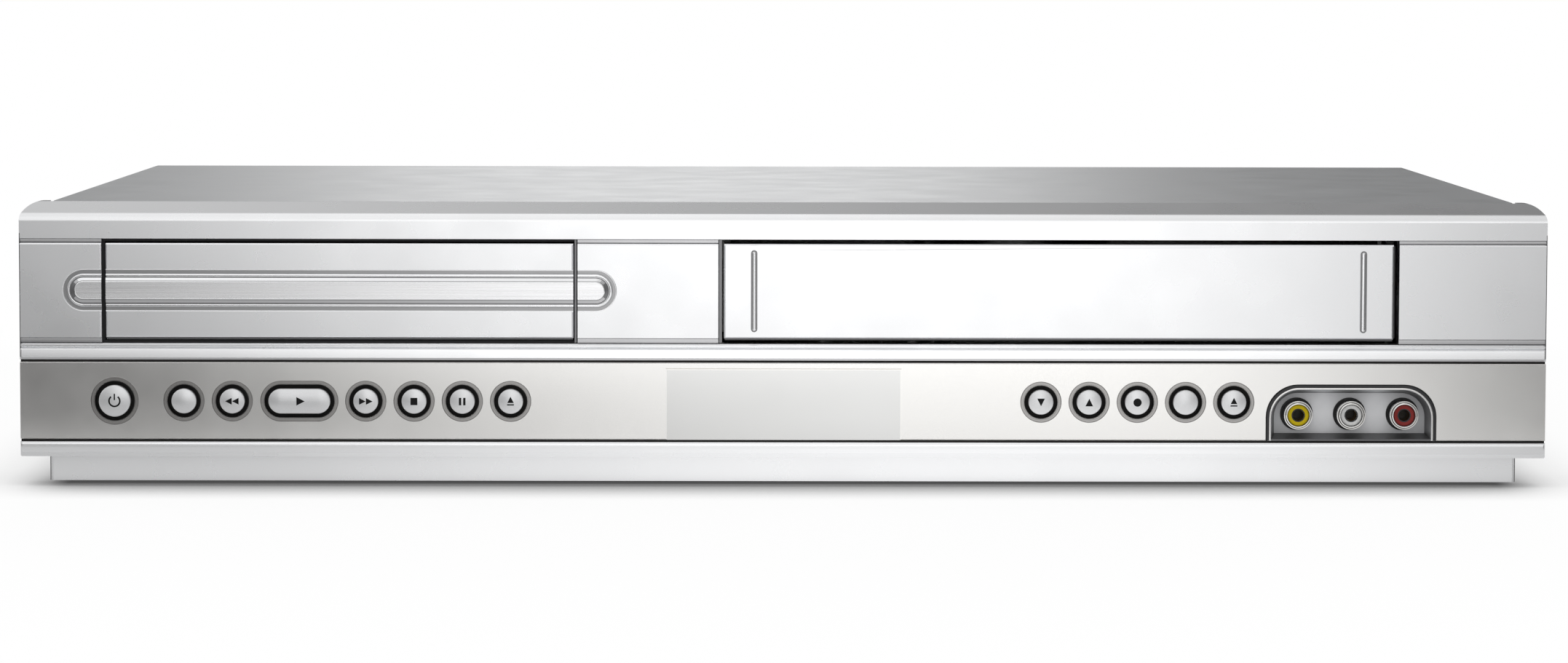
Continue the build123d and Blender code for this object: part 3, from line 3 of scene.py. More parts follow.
import bmesh
import bpy
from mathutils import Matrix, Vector


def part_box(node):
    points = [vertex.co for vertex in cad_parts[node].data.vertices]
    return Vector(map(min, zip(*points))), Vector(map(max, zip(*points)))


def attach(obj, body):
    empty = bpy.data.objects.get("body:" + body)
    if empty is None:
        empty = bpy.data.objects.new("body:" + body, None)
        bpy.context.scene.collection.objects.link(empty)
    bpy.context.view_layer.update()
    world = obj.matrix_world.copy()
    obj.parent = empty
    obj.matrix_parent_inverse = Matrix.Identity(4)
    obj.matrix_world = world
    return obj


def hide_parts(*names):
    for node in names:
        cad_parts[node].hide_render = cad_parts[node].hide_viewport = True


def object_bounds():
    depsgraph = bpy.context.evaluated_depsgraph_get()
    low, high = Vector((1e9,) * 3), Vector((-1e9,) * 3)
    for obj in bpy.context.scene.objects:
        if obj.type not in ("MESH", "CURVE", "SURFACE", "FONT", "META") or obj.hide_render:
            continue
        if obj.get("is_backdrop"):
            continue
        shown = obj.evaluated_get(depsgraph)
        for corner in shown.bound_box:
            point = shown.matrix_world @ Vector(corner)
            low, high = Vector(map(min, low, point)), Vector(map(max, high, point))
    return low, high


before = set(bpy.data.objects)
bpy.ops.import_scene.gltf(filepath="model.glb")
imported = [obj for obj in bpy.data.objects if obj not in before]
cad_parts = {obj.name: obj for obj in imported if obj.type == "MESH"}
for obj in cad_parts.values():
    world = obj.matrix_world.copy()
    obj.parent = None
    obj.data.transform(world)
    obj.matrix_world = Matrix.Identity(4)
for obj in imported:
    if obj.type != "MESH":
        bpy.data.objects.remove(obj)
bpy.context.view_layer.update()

# A slim silver disc and tape player. Places and sizes are in metres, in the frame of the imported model:
# X runs to the right, Y runs back into the player, and Z runs up from the shelf.
mm = 0.001


# Rows of numbers in millimetres, as metres
def in_mm(*rows):
    return [tuple(value * mm for value in row) for row in rows]


# The camera, and the frame of the picture that it is set for
camera_place = (-7.05 * mm, -1541.0 * mm, 147.71 * mm)
camera_pitch = 4.2135
camera_yaw = -0.2836
camera_roll = 0.113
camera_lens = 114.975
camera_sensor = 36.0

# The front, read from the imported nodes
band_low, band_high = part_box("control_band")
front_y = band_low.y
camera_distance = front_y - camera_place[1]
bezel_low, bezel_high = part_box("front_bezel")
door_low, door_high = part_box("tray_door")
flap_low, flap_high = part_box("cassette_flap")
flap_pins = 3.5 * mm
flap_left = flap_low.x + flap_pins
flap_right = flap_high.x - flap_pins

button_names = [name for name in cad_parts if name.endswith("_button")]


# Builds one object from a bmesh and puts it in the scene.
def add_object(name, form, materials, body, smooth_angle=35.0):
    mesh = bpy.data.meshes.new(name)
    bmesh.ops.recalc_face_normals(form, faces=form.faces)
    form.to_mesh(mesh)
    form.free()
    piece = bpy.data.objects.new(name, mesh)
    bpy.context.scene.collection.objects.link(piece)
    for material in materials:
        mesh.materials.append(material)
    for face in mesh.polygons:
        face.use_smooth = True
    mesh.set_sharp_from_angle(angle=radians(smooth_angle))
    weighted = piece.modifiers.new("flat_faces", "WEIGHTED_NORMAL")
    weighted.keep_sharp = True
    if body:
        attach(piece, body)
    return piece


# Joins each loop of vertices to the next one with four-sided faces. A closed form's last loop joins its
# first one, and an open form gets a face over each end.
def join_loops(form, loops, index=0, closed=False):
    pairs = list(zip(loops, loops[1:]))
    if closed:
        pairs.append((loops[-1], loops[0]))
    count = len(loops[0])
    faces = []
    for first, second in pairs:
        for step in range(count):
            after = (step + 1) % count
            faces.append((first[step], first[after], second[after], second[step]))
    if not closed:
        faces += [loops[0], loops[-1]]
    for corners in faces:
        form.faces.new(corners).material_index = index


# Points round a stadium: two half circles of one radius, stretch apart. A stretch of 0 gives a circle.
def stadium(radius, stretch, steps):
    points = []
    for step in range(steps):
        angle = 2 * pi * (step + 0.5) / steps
        shift = stretch / 2 if cos(angle) > 0 else -stretch / 2
        points.append((shift + radius * cos(angle), radius * sin(angle)))
    return points


# Adds a turned form on an axis along Y to a bmesh. Each row is a radius and a place behind the front.
def add_turned(
    form, rows, middle, level, stretch=0.0, steps=64, index=0, closed=False, upright=False
):
    loops = []
    for radius, behind in rows:
        points = stadium(radius, stretch, steps)
        if upright:
            points = [(z, x) for x, z in points]
        loops.append([form.verts.new((middle + x, front_y + behind, level + z)) for x, z in points])
    join_loops(form, loops, index, closed)


# Adds a plain block between two corners to a bmesh.
def add_block(form, low, high):
    corners = [
        form.verts.new((x, y, z)) for x in (low[0], high[0]) for y in (low[1], high[1])
        for z in (low[2], high[2])
    ]
    for side in ((0, 1, 3, 2), (4, 6, 7, 5), (0, 4, 5, 1), (2, 3, 7, 6), (0, 2, 6, 4), (1, 5, 7, 3)):
        form.faces.new([corners[corner] for corner in side])


# A profile's vertices at one station of a path. The station is a place and the way outward from it, and a
# point of the profile is a distance outward and a place behind the front.
def station_loop(form, profile, station):
    x, z, out_x, out_z = station
    return [
        form.verts.new((x + out_x * out, front_y + behind, z + out_z * out)) for out, behind in profile
    ]


# Adds a profile that is swept along a path across the front to a bmesh.
def add_swept(form, profile, path, index=0):
    join_loops(form, [station_loop(form, profile, station) for station in path], index)


# A straight path along X at one level, whose way outward is up (1) or down (-1)
def level_path(first, last, level=0, way=1):
    return [(first, level, 0, way), (last, level, 0, way)]


# A straight path up Z at one place in X, whose way outward is right (1) or left (-1)
def upright_path(foot, top, edge=0, way=1):
    return [(edge, foot, way, 0), (edge, top, way, 0)]


# A path along a U that lies on its side: from an edge along a straight, round a half circle and back
def u_path(edge, middle, level, steps=32):
    side = 1 if middle > edge else -1
    path = [(edge, level, 0, 1)]
    for step in range(steps + 1):
        angle = pi / 2 - pi * step / steps
        path.append((middle, level, side * cos(angle), sin(angle)))
    path.append((edge, level, 0, -1))
    return path


# Adds a raised tongue with stepped sides that fills such a U. Each row is a distance from the middle line
# and a place behind the front.
def add_tongue(form, rows, path, top_index):
    loops = [
        [vertex for station in path for vertex in station_loop(form, [row], station)] for row in rows
    ]
    for first, second in zip(loops, loops[1:]):
        for step in range(len(path) - 1):
            form.faces.new((first[step], first[step + 1], second[step + 1], second[step]))
    form.faces.new(loops[0])
    face = form.faces.new(loops[-1])
    face.material_index = top_index
    form.faces.new([loop[0] for loop in loops] + [loop[-1] for loop in reversed(loops)])


# A path round an arch with rounded upper corners, from the foot of one side to the foot of the other
def arch_path(low_x, high_x, low_z, high_z, corner, steps=16):
    path = [(low_x, low_z, -1, 0)]
    for middle, start in ((low_x + corner, pi), (high_x - corner, pi / 2)):
        for step in range(steps + 1):
            angle = start - pi / 2 * step / steps
            out_x, out_z = cos(angle), sin(angle)
            path.append((middle + corner * out_x, high_z - corner + corner * out_z, out_x, out_z))
    path.append((high_x, low_z, 1, 0))
    return path


# Material building blocks
def start_material(name):
    material = bpy.data.materials.new(name)
    material.use_nodes = True
    tree = material.node_tree
    shader = tree.nodes["Principled BSDF"]
    return material, tree, shader


# Each input gets a plain value or is linked to another node's output.
def set_inputs(tree, node, inputs):
    for key, value in inputs.items():
        if isinstance(value, bpy.types.NodeSocket):
            tree.links.new(value, node.inputs[key])
        else:
            node.inputs[key].default_value = value


# Adds a node with its settings and inputs
def make(tree, kind, inputs, **settings):
    node = tree.nodes.new("ShaderNode" + kind)
    for key, value in settings.items():
        setattr(node, key, value)
    set_inputs(tree, node, inputs)
    return node


def noise(tree, scale, stretch=(1, 1, 1), detail=2.0, roughness=0.5):
    place = make(tree, "TexCoord", {}).outputs["Object"]
    mapping = make(tree, "Mapping", {"Vector": place, "Scale": stretch})
    return make(tree, "TexNoise", {
        "Vector": mapping.outputs["Vector"], "Scale": scale, "Detail": detail, "Roughness": roughness,
    }).outputs["Fac"]


# Goes from low to high as a value goes from start to end
def ramp(tree, value, low, high, start=0.3, end=0.7, kind="LINEAR"):
    return make(tree, "MapRange", {
        "Value": value, "From Min": start, "From Max": end, "To Min": low, "To Max": high,
    }, interpolation_type=kind).outputs["Result"]


# A colour that goes from low to high with a pattern
def two_tone(tree, pattern, low, high, start=0.3, end=0.7):
    share = ramp(tree, pattern, 0.0, 1.0, start, end)
    colours = {"Factor": share, 6: (*low, 1), 7: (*high, 1)}
    return make(tree, "Mix", colours, data_type="RGBA").outputs[2]


def relief(tree, shader, height, strength, distance, rounding=0.0):
    bump = make(tree, "Bump", {"Strength": strength, "Distance": distance, "Height": height})
    if rounding:
        edge = make(tree, "Bevel", {"Radius": rounding}, samples=6)
        set_inputs(tree, bump, {"Normal": edge.outputs["Normal"]})
    set_inputs(tree, shader, {"Normal": bump.outputs["Normal"]})


# Silver paint with fine metal flakes in it
def silver_paint(name, colour, roughness, metallic=1.0, grain=0.02, rounding=0.0, coat=0.0):
    material, tree, shader = start_material(name)
    flakes = noise(tree, 2600.0, detail=3.0, roughness=0.7)
    low = [value * (1 - grain) for value in colour]
    high = [min(1.0, value * (1 + grain)) for value in colour]
    set_inputs(tree, shader, {
        "Base Color": two_tone(tree, flakes, low, high),
        "Roughness": ramp(tree, noise(tree, 60.0, detail=4.0), roughness * 0.93, roughness * 1.07),
        "Metallic": metallic, "Coat Weight": coat, "Coat Roughness": 0.12,
    })
    relief(tree, shader, flakes, 0.04, 0.02 * mm, rounding)
    return material


# Sheet steel with a zinc coat
def zinc_sheet(name, colour):
    material, tree, shader = start_material(name)
    spangle = noise(tree, 140.0, detail=5.0, roughness=0.6)
    low = [value * 0.90 for value in colour]
    set_inputs(tree, shader, {
        "Base Color": two_tone(tree, spangle, low, colour), "Metallic": 0.9,
        "Roughness": ramp(tree, spangle, 0.304, 0.456),
    })
    relief(tree, shader, noise(tree, 900.0), 0.15, 0.02 * mm, 0.15 * mm)
    return material


# Moulded plastic with a fine spark-eroded texture
def moulding(name, colour, roughness=0.45, texture=0.2, rounding=0.2 * mm, specular=0.5):
    material, tree, shader = start_material(name)
    grain = noise(tree, 1500.0, detail=3.0)
    low = [value * 0.90 for value in colour]
    set_inputs(tree, shader, {
        "Base Color": two_tone(tree, grain, low, colour), "Specular IOR Level": specular,
        "Roughness": ramp(tree, grain, roughness * 0.9, roughness * 1.1),
    })
    relief(tree, shader, grain, texture, 0.03 * mm, rounding)
    return material


# Metal brushed along X
def brushed_metal(name, colour, roughness, grain=0.86):
    material, tree, shader = start_material(name)
    lines = noise(tree, 2200.0, stretch=(0.008, 1, 1), detail=4.0, roughness=0.65)
    low = [value * grain for value in colour]
    set_inputs(tree, shader, {
        "Base Color": two_tone(tree, lines, low, colour), "Metallic": 0.9,
        "Roughness": ramp(tree, lines, roughness * 0.8, roughness * 1.2),
    })
    relief(tree, shader, lines, 0.25, 0.02 * mm)
    return material


# Silver paint whose colour is darkened in corners by ambient occlusion, as painted shade
def occlusion_shaded_silver(name, low, high, roughness, distance):
    material, tree, shader = start_material(name)
    corner = make(tree, "AmbientOcclusion", {"Distance": distance}, samples=8)
    set_inputs(tree, shader, {
        "Base Color": two_tone(tree, corner.outputs["AO"], low, high, 0.15, 0.80),
        "Roughness": roughness, "Metallic": 0.8,
    })
    relief(tree, shader, noise(tree, 2600.0, detail=3.0), 0.12, 0.02 * mm, 0.2 * mm)
    return material


# The front and its trim
front_silver = silver_paint("front_silver", (0.95, 0.955, 0.965), 0.28, grain=0.01)
trim_silver = silver_paint("trim_silver", (0.95, 0.955, 0.965), 0.24, grain=0.01)
band_silver = silver_paint("band_silver", (0.92, 0.91, 0.89), 0.20)
window_silver = silver_paint("window_silver", (0.80, 0.80, 0.79), 0.16, grain=0.01)
# These four are darker copies of the silver, used as painted shade in grooves, gaps, chamfers and the ends
# of slopes
shade_toned_silver = silver_paint("shade_toned_silver", (0.62, 0.62, 0.63), 0.3)
channel_shade_grey = silver_paint("channel_shade_grey", (0.42, 0.42, 0.425), 0.3)
gap_shade_grey = silver_paint("gap_shade_grey", (0.26, 0.26, 0.265), 0.35, metallic=0.8)
groove_shade_grey = silver_paint("groove_shade_grey", (0.16, 0.16, 0.165), 0.4, metallic=0.7)
dish_silver = silver_paint("dish_silver", (0.42, 0.41, 0.40), 0.24)
cap_silver = silver_paint(
    "cap_silver", (0.86, 0.865, 0.875), 0.3, metallic=0.6, grain=0.03, rounding=0.25 * mm, coat=0.2
)
# The recess is silver, darkened in its corners as painted shade
recess_occlusion_silver = occlusion_shaded_silver("recess_occlusion_silver", (0.10, 0.10, 0.105), (0.72, 0.725, 0.74), 0.38, 6.0 * mm)
plate_silver = brushed_metal("plate_silver", (0.99, 0.99, 1.0), 0.26, 0.93)
print_ink = moulding("print_ink", (0.008, 0.008, 0.009), 0.6, texture=0.05, rounding=0.0, specular=0.2)
joint_black = moulding("joint_black", (0.03, 0.03, 0.032), 0.5, texture=0.05, rounding=0.0)
well_black = moulding("well_black", (0.022, 0.021, 0.020), 0.6, rounding=0.0, specular=0.3)
# The felt in the tray door's gap, black as painted shade
shade_felt_black = moulding("shade_felt_black", (0.045, 0.045, 0.047), 0.9, texture=0.5, rounding=0.0, specular=0.1)

# The case and what it holds
cover_silver = silver_paint("cover_silver", (0.72, 0.73, 0.74), 0.36, metallic=0.75, grain=0.06)
nickel = silver_paint("nickel", (0.83, 0.82, 0.80), 0.12, grain=0.01, rounding=0.1 * mm)
rod_steel = silver_paint("rod_steel", (0.70, 0.70, 0.70), 0.16)
contact_brass = silver_paint("contact_brass", (0.62, 0.45, 0.20), 0.25)
machined = brushed_metal("machined", (0.78, 0.78, 0.79), 0.22)
case_zinc = zinc_sheet("case_zinc", (0.62, 0.63, 0.64))
deck_zinc = zinc_sheet("deck_zinc", (0.66, 0.66, 0.65))
black_plastic = moulding("black_plastic", (0.022, 0.022, 0.024))
tray_plastic = moulding("tray_plastic", (0.035, 0.036, 0.040), 0.38)
white_plastic = moulding("white_plastic", (0.82, 0.82, 0.79), 0.42)
rubber = moulding("rubber", (0.03, 0.03, 0.03), 0.75, texture=0.4)
yellow_plastic = moulding("yellow_plastic", (0.80, 0.60, 0.004), 0.35, texture=0.05, specular=0.2)
pale_plastic = moulding("pale_plastic", (0.92, 0.92, 0.91), 0.3, texture=0.05)
red_plastic = moulding("red_plastic", (0.30, 0.025, 0.02), 0.35, texture=0.05, specular=0.3)
board_green = moulding("board_green", (0.05, 0.17, 0.08), 0.35, texture=0.1)
wound_parts = moulding("wound_parts", (0.10, 0.09, 0.07), 0.5)
display_glass = moulding("display_glass", (0.02, 0.025, 0.025), 0.1, texture=0.02)

node_materials = {
    front_silver: ["front_bezel", "tray_door", "cassette_flap"],
    band_silver: ["control_band"],
    window_silver: ["display_window"],
    display_glass: ["display_module"],
    cap_silver: button_names,
    cover_silver: ["top_cover"],
    case_zinc: ["bottom_pan", "pan_posts", "rear_panel", "tuner_module"],
    deck_zinc: ["deck_chassis", "carriage_guides", "cassette_carriage", "clamp_bridge"],
    rod_steel: ["guide_rods", "capstan", "flap_spring"],
    machined: ["drum_base", "head_drum", "spindle_motor", "loading_motor"],
    rubber: ["feet", "loading_belt"],
    nickel: ["jack_shells"],
    recess_occlusion_silver: ["jack_recess"],
    yellow_plastic: ["video_jack_insulator"],
    pale_plastic: ["left_jack_insulator"],
    red_plastic: ["right_jack_insulator"],
    black_plastic: [
        "jack_block", "loader_frame", "traverse_frame", "pickup_sled", "turntable", "disc_clamper",
        "rear_jacks", "scart_sockets", "cord_gland", "pinch_arm",
    ],
    tray_plastic: ["disc_tray"],
    white_plastic: ["tray_gear", "supply_reel", "takeup_reel", "guide_posts"],
    board_green: ["main_board", "key_board"],
    wound_parts: ["power_parts"],
}
for material, names in node_materials.items():
    for name in names:
        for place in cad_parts[name].material_slots:
            place.material = material

# The buttons: a cap with a rounded rim and a slight crown, on a stem with a flange behind the band's seat
cap_side = 1.4 * mm
cap_front = -0.6 * mm
cap_fillet = 0.35 * mm
cap_crown = 0.3 * mm
cap_crease = 0.25 * mm
cap_clearance = 0.12 * mm
stem_half = 2.0 * mm
flange_half = 3.0 * mm
flange_thick = 1.0 * mm
flange_from_tip = 2.75 * mm
well_gap = 0.9 * mm
dish_width = 1.25 * mm
dish_profile = in_mm(
    (0.02, 0.30), (0.02, -0.04), (-0.06, -0.07), (-0.14, 0.10), (-0.24, 0.10), (-0.27, 0.0), (-0.72, 0.0),
    (-0.75, 0.16), (-0.86, 0.16), (-0.89, 0.06), (-1.14, 0.06), (-1.17, 0.20), (-1.18, 0.60), (-0.9, 0.8),
)

# How far a sign stands out of its cap and reaches into it, and how much larger it is than its outline
print_lift = 0.015 * mm
print_sunk = 0.03 * mm
sign_scale = 1.08


# Where the dome of a cap is, behind the front, at a distance from the cap's middle or middle line
def dome(radius, away):
    share = min(1.0, away / (radius - cap_fillet))
    return cap_front - cap_crown * (1 - share * share)


# A closed print on a dome: a convex outline grows from its middle in rings, and follows the crown.
def add_print(form, outline, middle, level, radius, stretch, rings=5, pieces=6):
    centre_x = sum(x for x, _ in outline) / len(outline)
    centre_z = sum(z for _, z in outline) / len(outline)
    edge = []
    for (x, z), (next_x, next_z) in zip(outline, outline[1:] + outline[:1]):
        for piece in range(pieces):
            share = piece / pieces
            edge.append((x + (next_x - x) * share, z + (next_z - z) * share))

    def point(x, z, lift):
        beyond = max(0.0, abs(x) - stretch / 2)
        behind = dome(radius, (beyond * beyond + z * z) ** 0.5) - lift
        return form.verts.new((middle + x, front_y + behind, level + z))

    top = point(centre_x, centre_z, print_lift)
    loops = []
    for ring in range(1, rings + 1):
        share = ring / rings
        loops.append([
            point(centre_x + (x - centre_x) * share, centre_z + (z - centre_z) * share, print_lift)
            for x, z in edge
        ])
    loops.append([point(x, z, -print_sunk) for x, z in edge])
    count = len(edge)
    for step in range(count):
        form.faces.new((top, loops[0][step], loops[0][(step + 1) % count]))
    for inner, outer in zip(loops, loops[1:]):
        for step in range(count):
            after = (step + 1) % count
            form.faces.new((inner[step], inner[after], outer[after], outer[step]))
    form.faces.new(loops[-1])


# A rectangle between two corners, in millimetres
def box_outline(low_x, low_z, high_x, high_z):
    return in_mm((low_x, low_z), (high_x, low_z), (high_x, high_z), (low_x, high_z))


# Short pieces of a ring between two radii, from one angle to another in degrees
def arc_outlines(inner, outer, start, end, count=28):
    outlines = []
    for step in range(count):
        first = radians(start + (end - start) * step / count)
        last = radians(start + (end - start) * (step + 1) / count)
        outlines.append([
            (inner * cos(first), inner * sin(first)), (outer * cos(first), outer * sin(first)),
            (outer * cos(last), outer * sin(last)), (inner * cos(last), inner * sin(last)),
        ])
    return outlines


# A triangle that points along X with a sign of 1 or -1, in millimetres
def arrow(middle, half_width, half_height, sign):
    back = middle - sign * half_width
    return in_mm((middle + sign * half_width, 0), (back, half_height), (back, -half_height))


eject_sign = [in_mm((-0.85, -0.35), (0.85, -0.35), (0, 1.3)), box_outline(-0.9, -1.0, 0.9, -0.68)]
dot_radius = 1.08 * mm
dot = [(dot_radius * cos(radians(15 * step)), dot_radius * sin(radians(15 * step))) for step in range(24)]
signs = {
    "standby_button": arc_outlines(1.2 * mm, 1.62 * mm, 128, 412) + [box_outline(-0.18, 0.25, 0.18, 1.9)],
    "rewind_button": [arrow(-0.95, 0.86, 0.88, -1), arrow(0.85, 0.86, 0.88, -1)],
    "play_button": [arrow(0.35, 1.08, 1.12, 1)],
    "forward_button": [arrow(-0.85, 0.86, 0.88, 1), arrow(0.95, 0.86, 0.88, 1)],
    "stop_button": [box_outline(-0.9, -0.95, 0.9, 0.95)],
    "pause_button": [box_outline(-0.86, -0.98, -0.26, 0.98), box_outline(0.26, -0.98, 0.86, 0.98)],
    "open_close_button": eject_sign,
    "channel_down_button": [in_mm((-1.0, 1.0), (1.0, 1.0), (0, -1.0))],
    "channel_up_button": [in_mm((-1.0, -1.0), (1.0, -1.0), (0, 1.0))],
    "record_button": [dot],
    "eject_button": eject_sign,
}
for name in button_names:
    low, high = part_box(name)
    radius = (high.z - low.z) / 2
    stretch = high.x - low.x - 2 * radius
    middle = (low.x + high.x) / 2
    level = (low.z + high.z) / 2
    radius -= cap_clearance
    form = bmesh.new()
    rows = [(radius - cap_crease, cap_side), (radius, cap_side - cap_crease)]
    for step in range(6):
        turn = pi / 2 * step / 5
        rows.append((radius - cap_fillet * (1 - cos(turn)), cap_front + cap_fillet * (1 - sin(turn))))
    for share in (0.9, 0.75, 0.6, 0.45, 0.3, 0.15, 0.02):
        away = (radius - cap_fillet) * share
        rows.append((away, dome(radius, away)))
    add_turned(form, rows, middle, level, stretch)
    flange_front = high.y - flange_from_tip
    for half, first, last in (
        (stem_half, front_y + cap_side - cap_crease, high.y),
        (flange_half, flange_front, flange_front + flange_thick),
    ):
        reach = half + stretch / 2
        add_block(form, (middle - reach, first, level - half), (middle + reach, last, level + half))
    cap = add_object(name + "_cap", form, [cap_silver], name)
    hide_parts(name)
    radius += cap_clearance
    if name in signs:
        form = bmesh.new()
        for outline in signs[name]:
            bold = [(sign_scale * x, sign_scale * z) for x, z in outline]
            add_print(form, bold, middle, level, radius, stretch)
        sign = add_object(name + "_sign", form, [print_ink], name)

    # The dish round the cap, in two flat rings between fine grooves, and the black well that holds the cap:
    # its black is painted shade in the gap round the cap
    form = bmesh.new()
    outer = radius + well_gap + dish_width
    rows = [(outer + out, behind) for out, behind in dish_profile]
    add_turned(form, rows, middle, level, stretch, closed=True)
    inner = radius + well_gap
    rows = [
        (inner + 0.22 * mm, 0.02 * mm), (inner - 0.02 * mm, 0.12 * mm), (inner - 0.05 * mm, 2.45 * mm),
        (radius - 0.5 * mm, 2.45 * mm), (radius - 0.5 * mm, 2.58 * mm), (inner + 0.1 * mm, 2.58 * mm),
        (inner + 0.24 * mm, 0.9 * mm),
    ]
    add_turned(form, rows, middle, level, stretch, index=1, closed=True)
    dish = add_object(name + "_dish", form, [dish_silver, well_black], "case")


# The stadium-shaped channel: a dark liner as painted shade in the groove, with a silver bead along it, and a
# brushed plate on its island. It's in three lengths, since the tray door carries the middle one.
channel_radius = 5.65 * mm
channel_level = (door_low.z + door_high.z) / 2
channel_half = 72.05 * mm
door_gap = 1.2 * mm
door_middle = (door_low.x + door_high.x) / 2
liner_profile = in_mm((5.62, 0.93), (5.62, 0.50), (4.78, 0.50), (4.70, 0.80), (3.80, 0.80), (3.80, 0.93))
bead_profile = in_mm(
    (4.82, 0.84), (4.80, 0.60), (4.60, 0.30), (4.48, 0.22), (4.10, 0.20), (3.96, 0.26), (3.92, 0.36),
    (3.91, 0.84),
)
rim_profile = in_mm(
    (5.60, 0.60), (5.60, 0.24), (5.66, 0.08), (5.76, -0.01), (5.88, -0.03), (5.94, 0.01), (5.68, 0.60),
)
plate_rows = in_mm(
    (3.73, 0.05), (3.73, -0.02), (3.52, -0.04), (2.72, -0.33), (2.69, -0.22), (2.62, -0.22), (2.58, -0.30),
    (2.34, -0.39), (2.26, -0.38),
)
plate_rim = 3.52 * mm
plate_step = 2.70 * mm
plate_front = front_y - 0.38 * mm
plate_line = 0.1 * mm
# Round the ends, the slope turns grey and then dark, as painted shade, where this share of a face's way out
# lies along X
grey_shade_share = 0.45
dark_shade_share = 0.8
same_place = 1e-6
left_path = u_path(door_low.x - door_gap, door_middle - channel_half, channel_level)
right_path = u_path(door_high.x + door_gap, door_middle + channel_half, channel_level)
door_paths = [level_path(door_low.x, door_high.x, channel_level, way) for way in (1, -1)]
for side, body, paths in (
    ("left", "case", [left_path]), ("right", "case", [right_path]), ("door", "tray", door_paths),
):
    form = bmesh.new()
    for path in paths:
        add_swept(form, liner_profile, path)
        add_swept(form, bead_profile, path, index=1)
        add_swept(form, rim_profile, path, index=1)
    channel = add_object("channel_bead_" + side, form, [channel_shade_grey, trim_silver], body)
    form = bmesh.new()
    if side == "door":
        profile = plate_rows + [(-out, behind) for out, behind in reversed(plate_rows)]
        add_swept(form, profile, paths[0])
    else:
        add_tongue(form, plate_rows, paths[0], 1)
    # The plate is brushed on top, inside a fine dark step. Its slope is silver above, grey below and round
    # the ends and dark at the far ends, and stands in a dark line: the grey, the dark and the step's line
    # are painted shade.
    for face in form.faces:
        if all(abs(vertex.co.y - plate_front) < same_place for vertex in face.verts):
            face.material_index = 1
            continue
        if len(face.verts) != 4:
            continue
        away = face.calc_center_median() - Vector((door_middle, 0, channel_level))
        beyond = max(0.0, abs(away.x) - channel_half)
        radius = (beyond * beyond + away.z * away.z) ** 0.5
        if radius > plate_rim or plate_step > radius > plate_step - plate_line:
            face.material_index = 2
        elif beyond > dark_shade_share * radius and radius > plate_step:
            face.material_index = 3
        elif radius > plate_step and (away.z < 0 or beyond > grey_shade_share * radius):
            face.material_index = 4
    plate = add_object(
        "channel_plate_" + side, form, [trim_silver, plate_silver, groove_shade_grey, gap_shade_grey, shade_toned_silver],
        body, 14.0,
    )

# The two upright ribs on the flap: a rod in a groove that is coloured dark as painted shade
rib_inset = 8.5 * mm
rib_stretch = 21.3 * mm
rib_rows = in_mm((0.90, -0.02), (0.90, -0.43), (0.50, -0.43), (0.50, -0.30))
rod_rows = in_mm((0.52, -0.30), (0.52, -0.52), (0.44, -0.63), (0.28, -0.70), (0.02, -0.72))
flap_middle = (flap_left + flap_right) / 2
for side, sign in (("left", -1), ("right", 1)):
    middle = flap_middle + sign * ((flap_right - flap_left) / 2 - rib_inset)
    form = bmesh.new()
    add_turned(form, rib_rows, middle, channel_level, rib_stretch, closed=True, upright=True)
    add_turned(form, rod_rows, middle, channel_level, rib_stretch, index=1, upright=True)
    rib = add_object("flap_rib_" + side, form, [gap_shade_grey, trim_silver], "flap", 25.0)

# Two black strips in the seams above and below the band, as painted shade in those seams
band_ends = band_high.x - 0.15 * mm
seam_half = 0.35 * mm
profile = in_mm(
    (-0.33, 2.5), (-0.33, 0.75), (-0.22, 0.62), (0.0, 0.58), (0.22, 0.62), (0.33, 0.75), (0.33, 2.5),
)
form = bmesh.new()
for level in (band_low.z - seam_half, band_high.z + seam_half):
    add_swept(form, profile, level_path(-band_ends, band_ends, level))
seam_shade_strips = add_object("band_seam_shades", form, [well_black], "case")

# The edge of the socket recess: a black strip against the band as painted shade in that gap, and a bright
# bead round the pocket
recess_low, recess_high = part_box("jack_recess")
recess_corner = 9.0 * mm
recess_path = arch_path(recess_low.x, recess_high.x, recess_low.z + 0.05 * mm, recess_high.z, recess_corner)
form = bmesh.new()
profile = in_mm(
    (0.29, 0.70), (0.29, 0.10), (0.0, -0.03), (-0.46, -0.03), (-0.46, 0.03), (-0.03, 0.03), (-0.03, 0.70),
)
add_swept(form, profile, recess_path)
profile = in_mm((-0.45, 0.04), (-0.46, -0.08), (-0.56, -0.17), (-0.72, -0.18), (-0.84, -0.10), (-0.88, 0.04))
add_swept(form, profile, recess_path, index=1)
edge = add_object("recess_edge", form, [joint_black, nickel], "case")

# A dark mat with a rounded front edge on the sloping floor of the recess, as painted shade there. It narrows
# towards the back, as the recess does.
recess_gap = 0.3 * mm
recess_wall = 1.05 * mm
recess_rise = tan(radians(14.0))
mat_profile = in_mm(
    (-0.28, 0.20), (-0.28, -0.02), (-0.06, -0.03), (0.14, 0.02), (0.20, 0.14), (0.22, 4.7), (0.0, 4.7),
    (0.0, 0.20),
)
form = bmesh.new()
loops = []
for side, edge in ((1, recess_low.x), (-1, recess_high.x)):
    loops.append([
        form.verts.new((
            edge + side * (recess_wall + behind * recess_rise), front_y + behind,
            recess_low.z + recess_gap + up + behind * recess_rise,
        ))
        for up, behind in mat_profile
    ])
join_loops(form, loops)
mat = add_object("recess_shade_mat", form, [groove_shade_grey], "case")
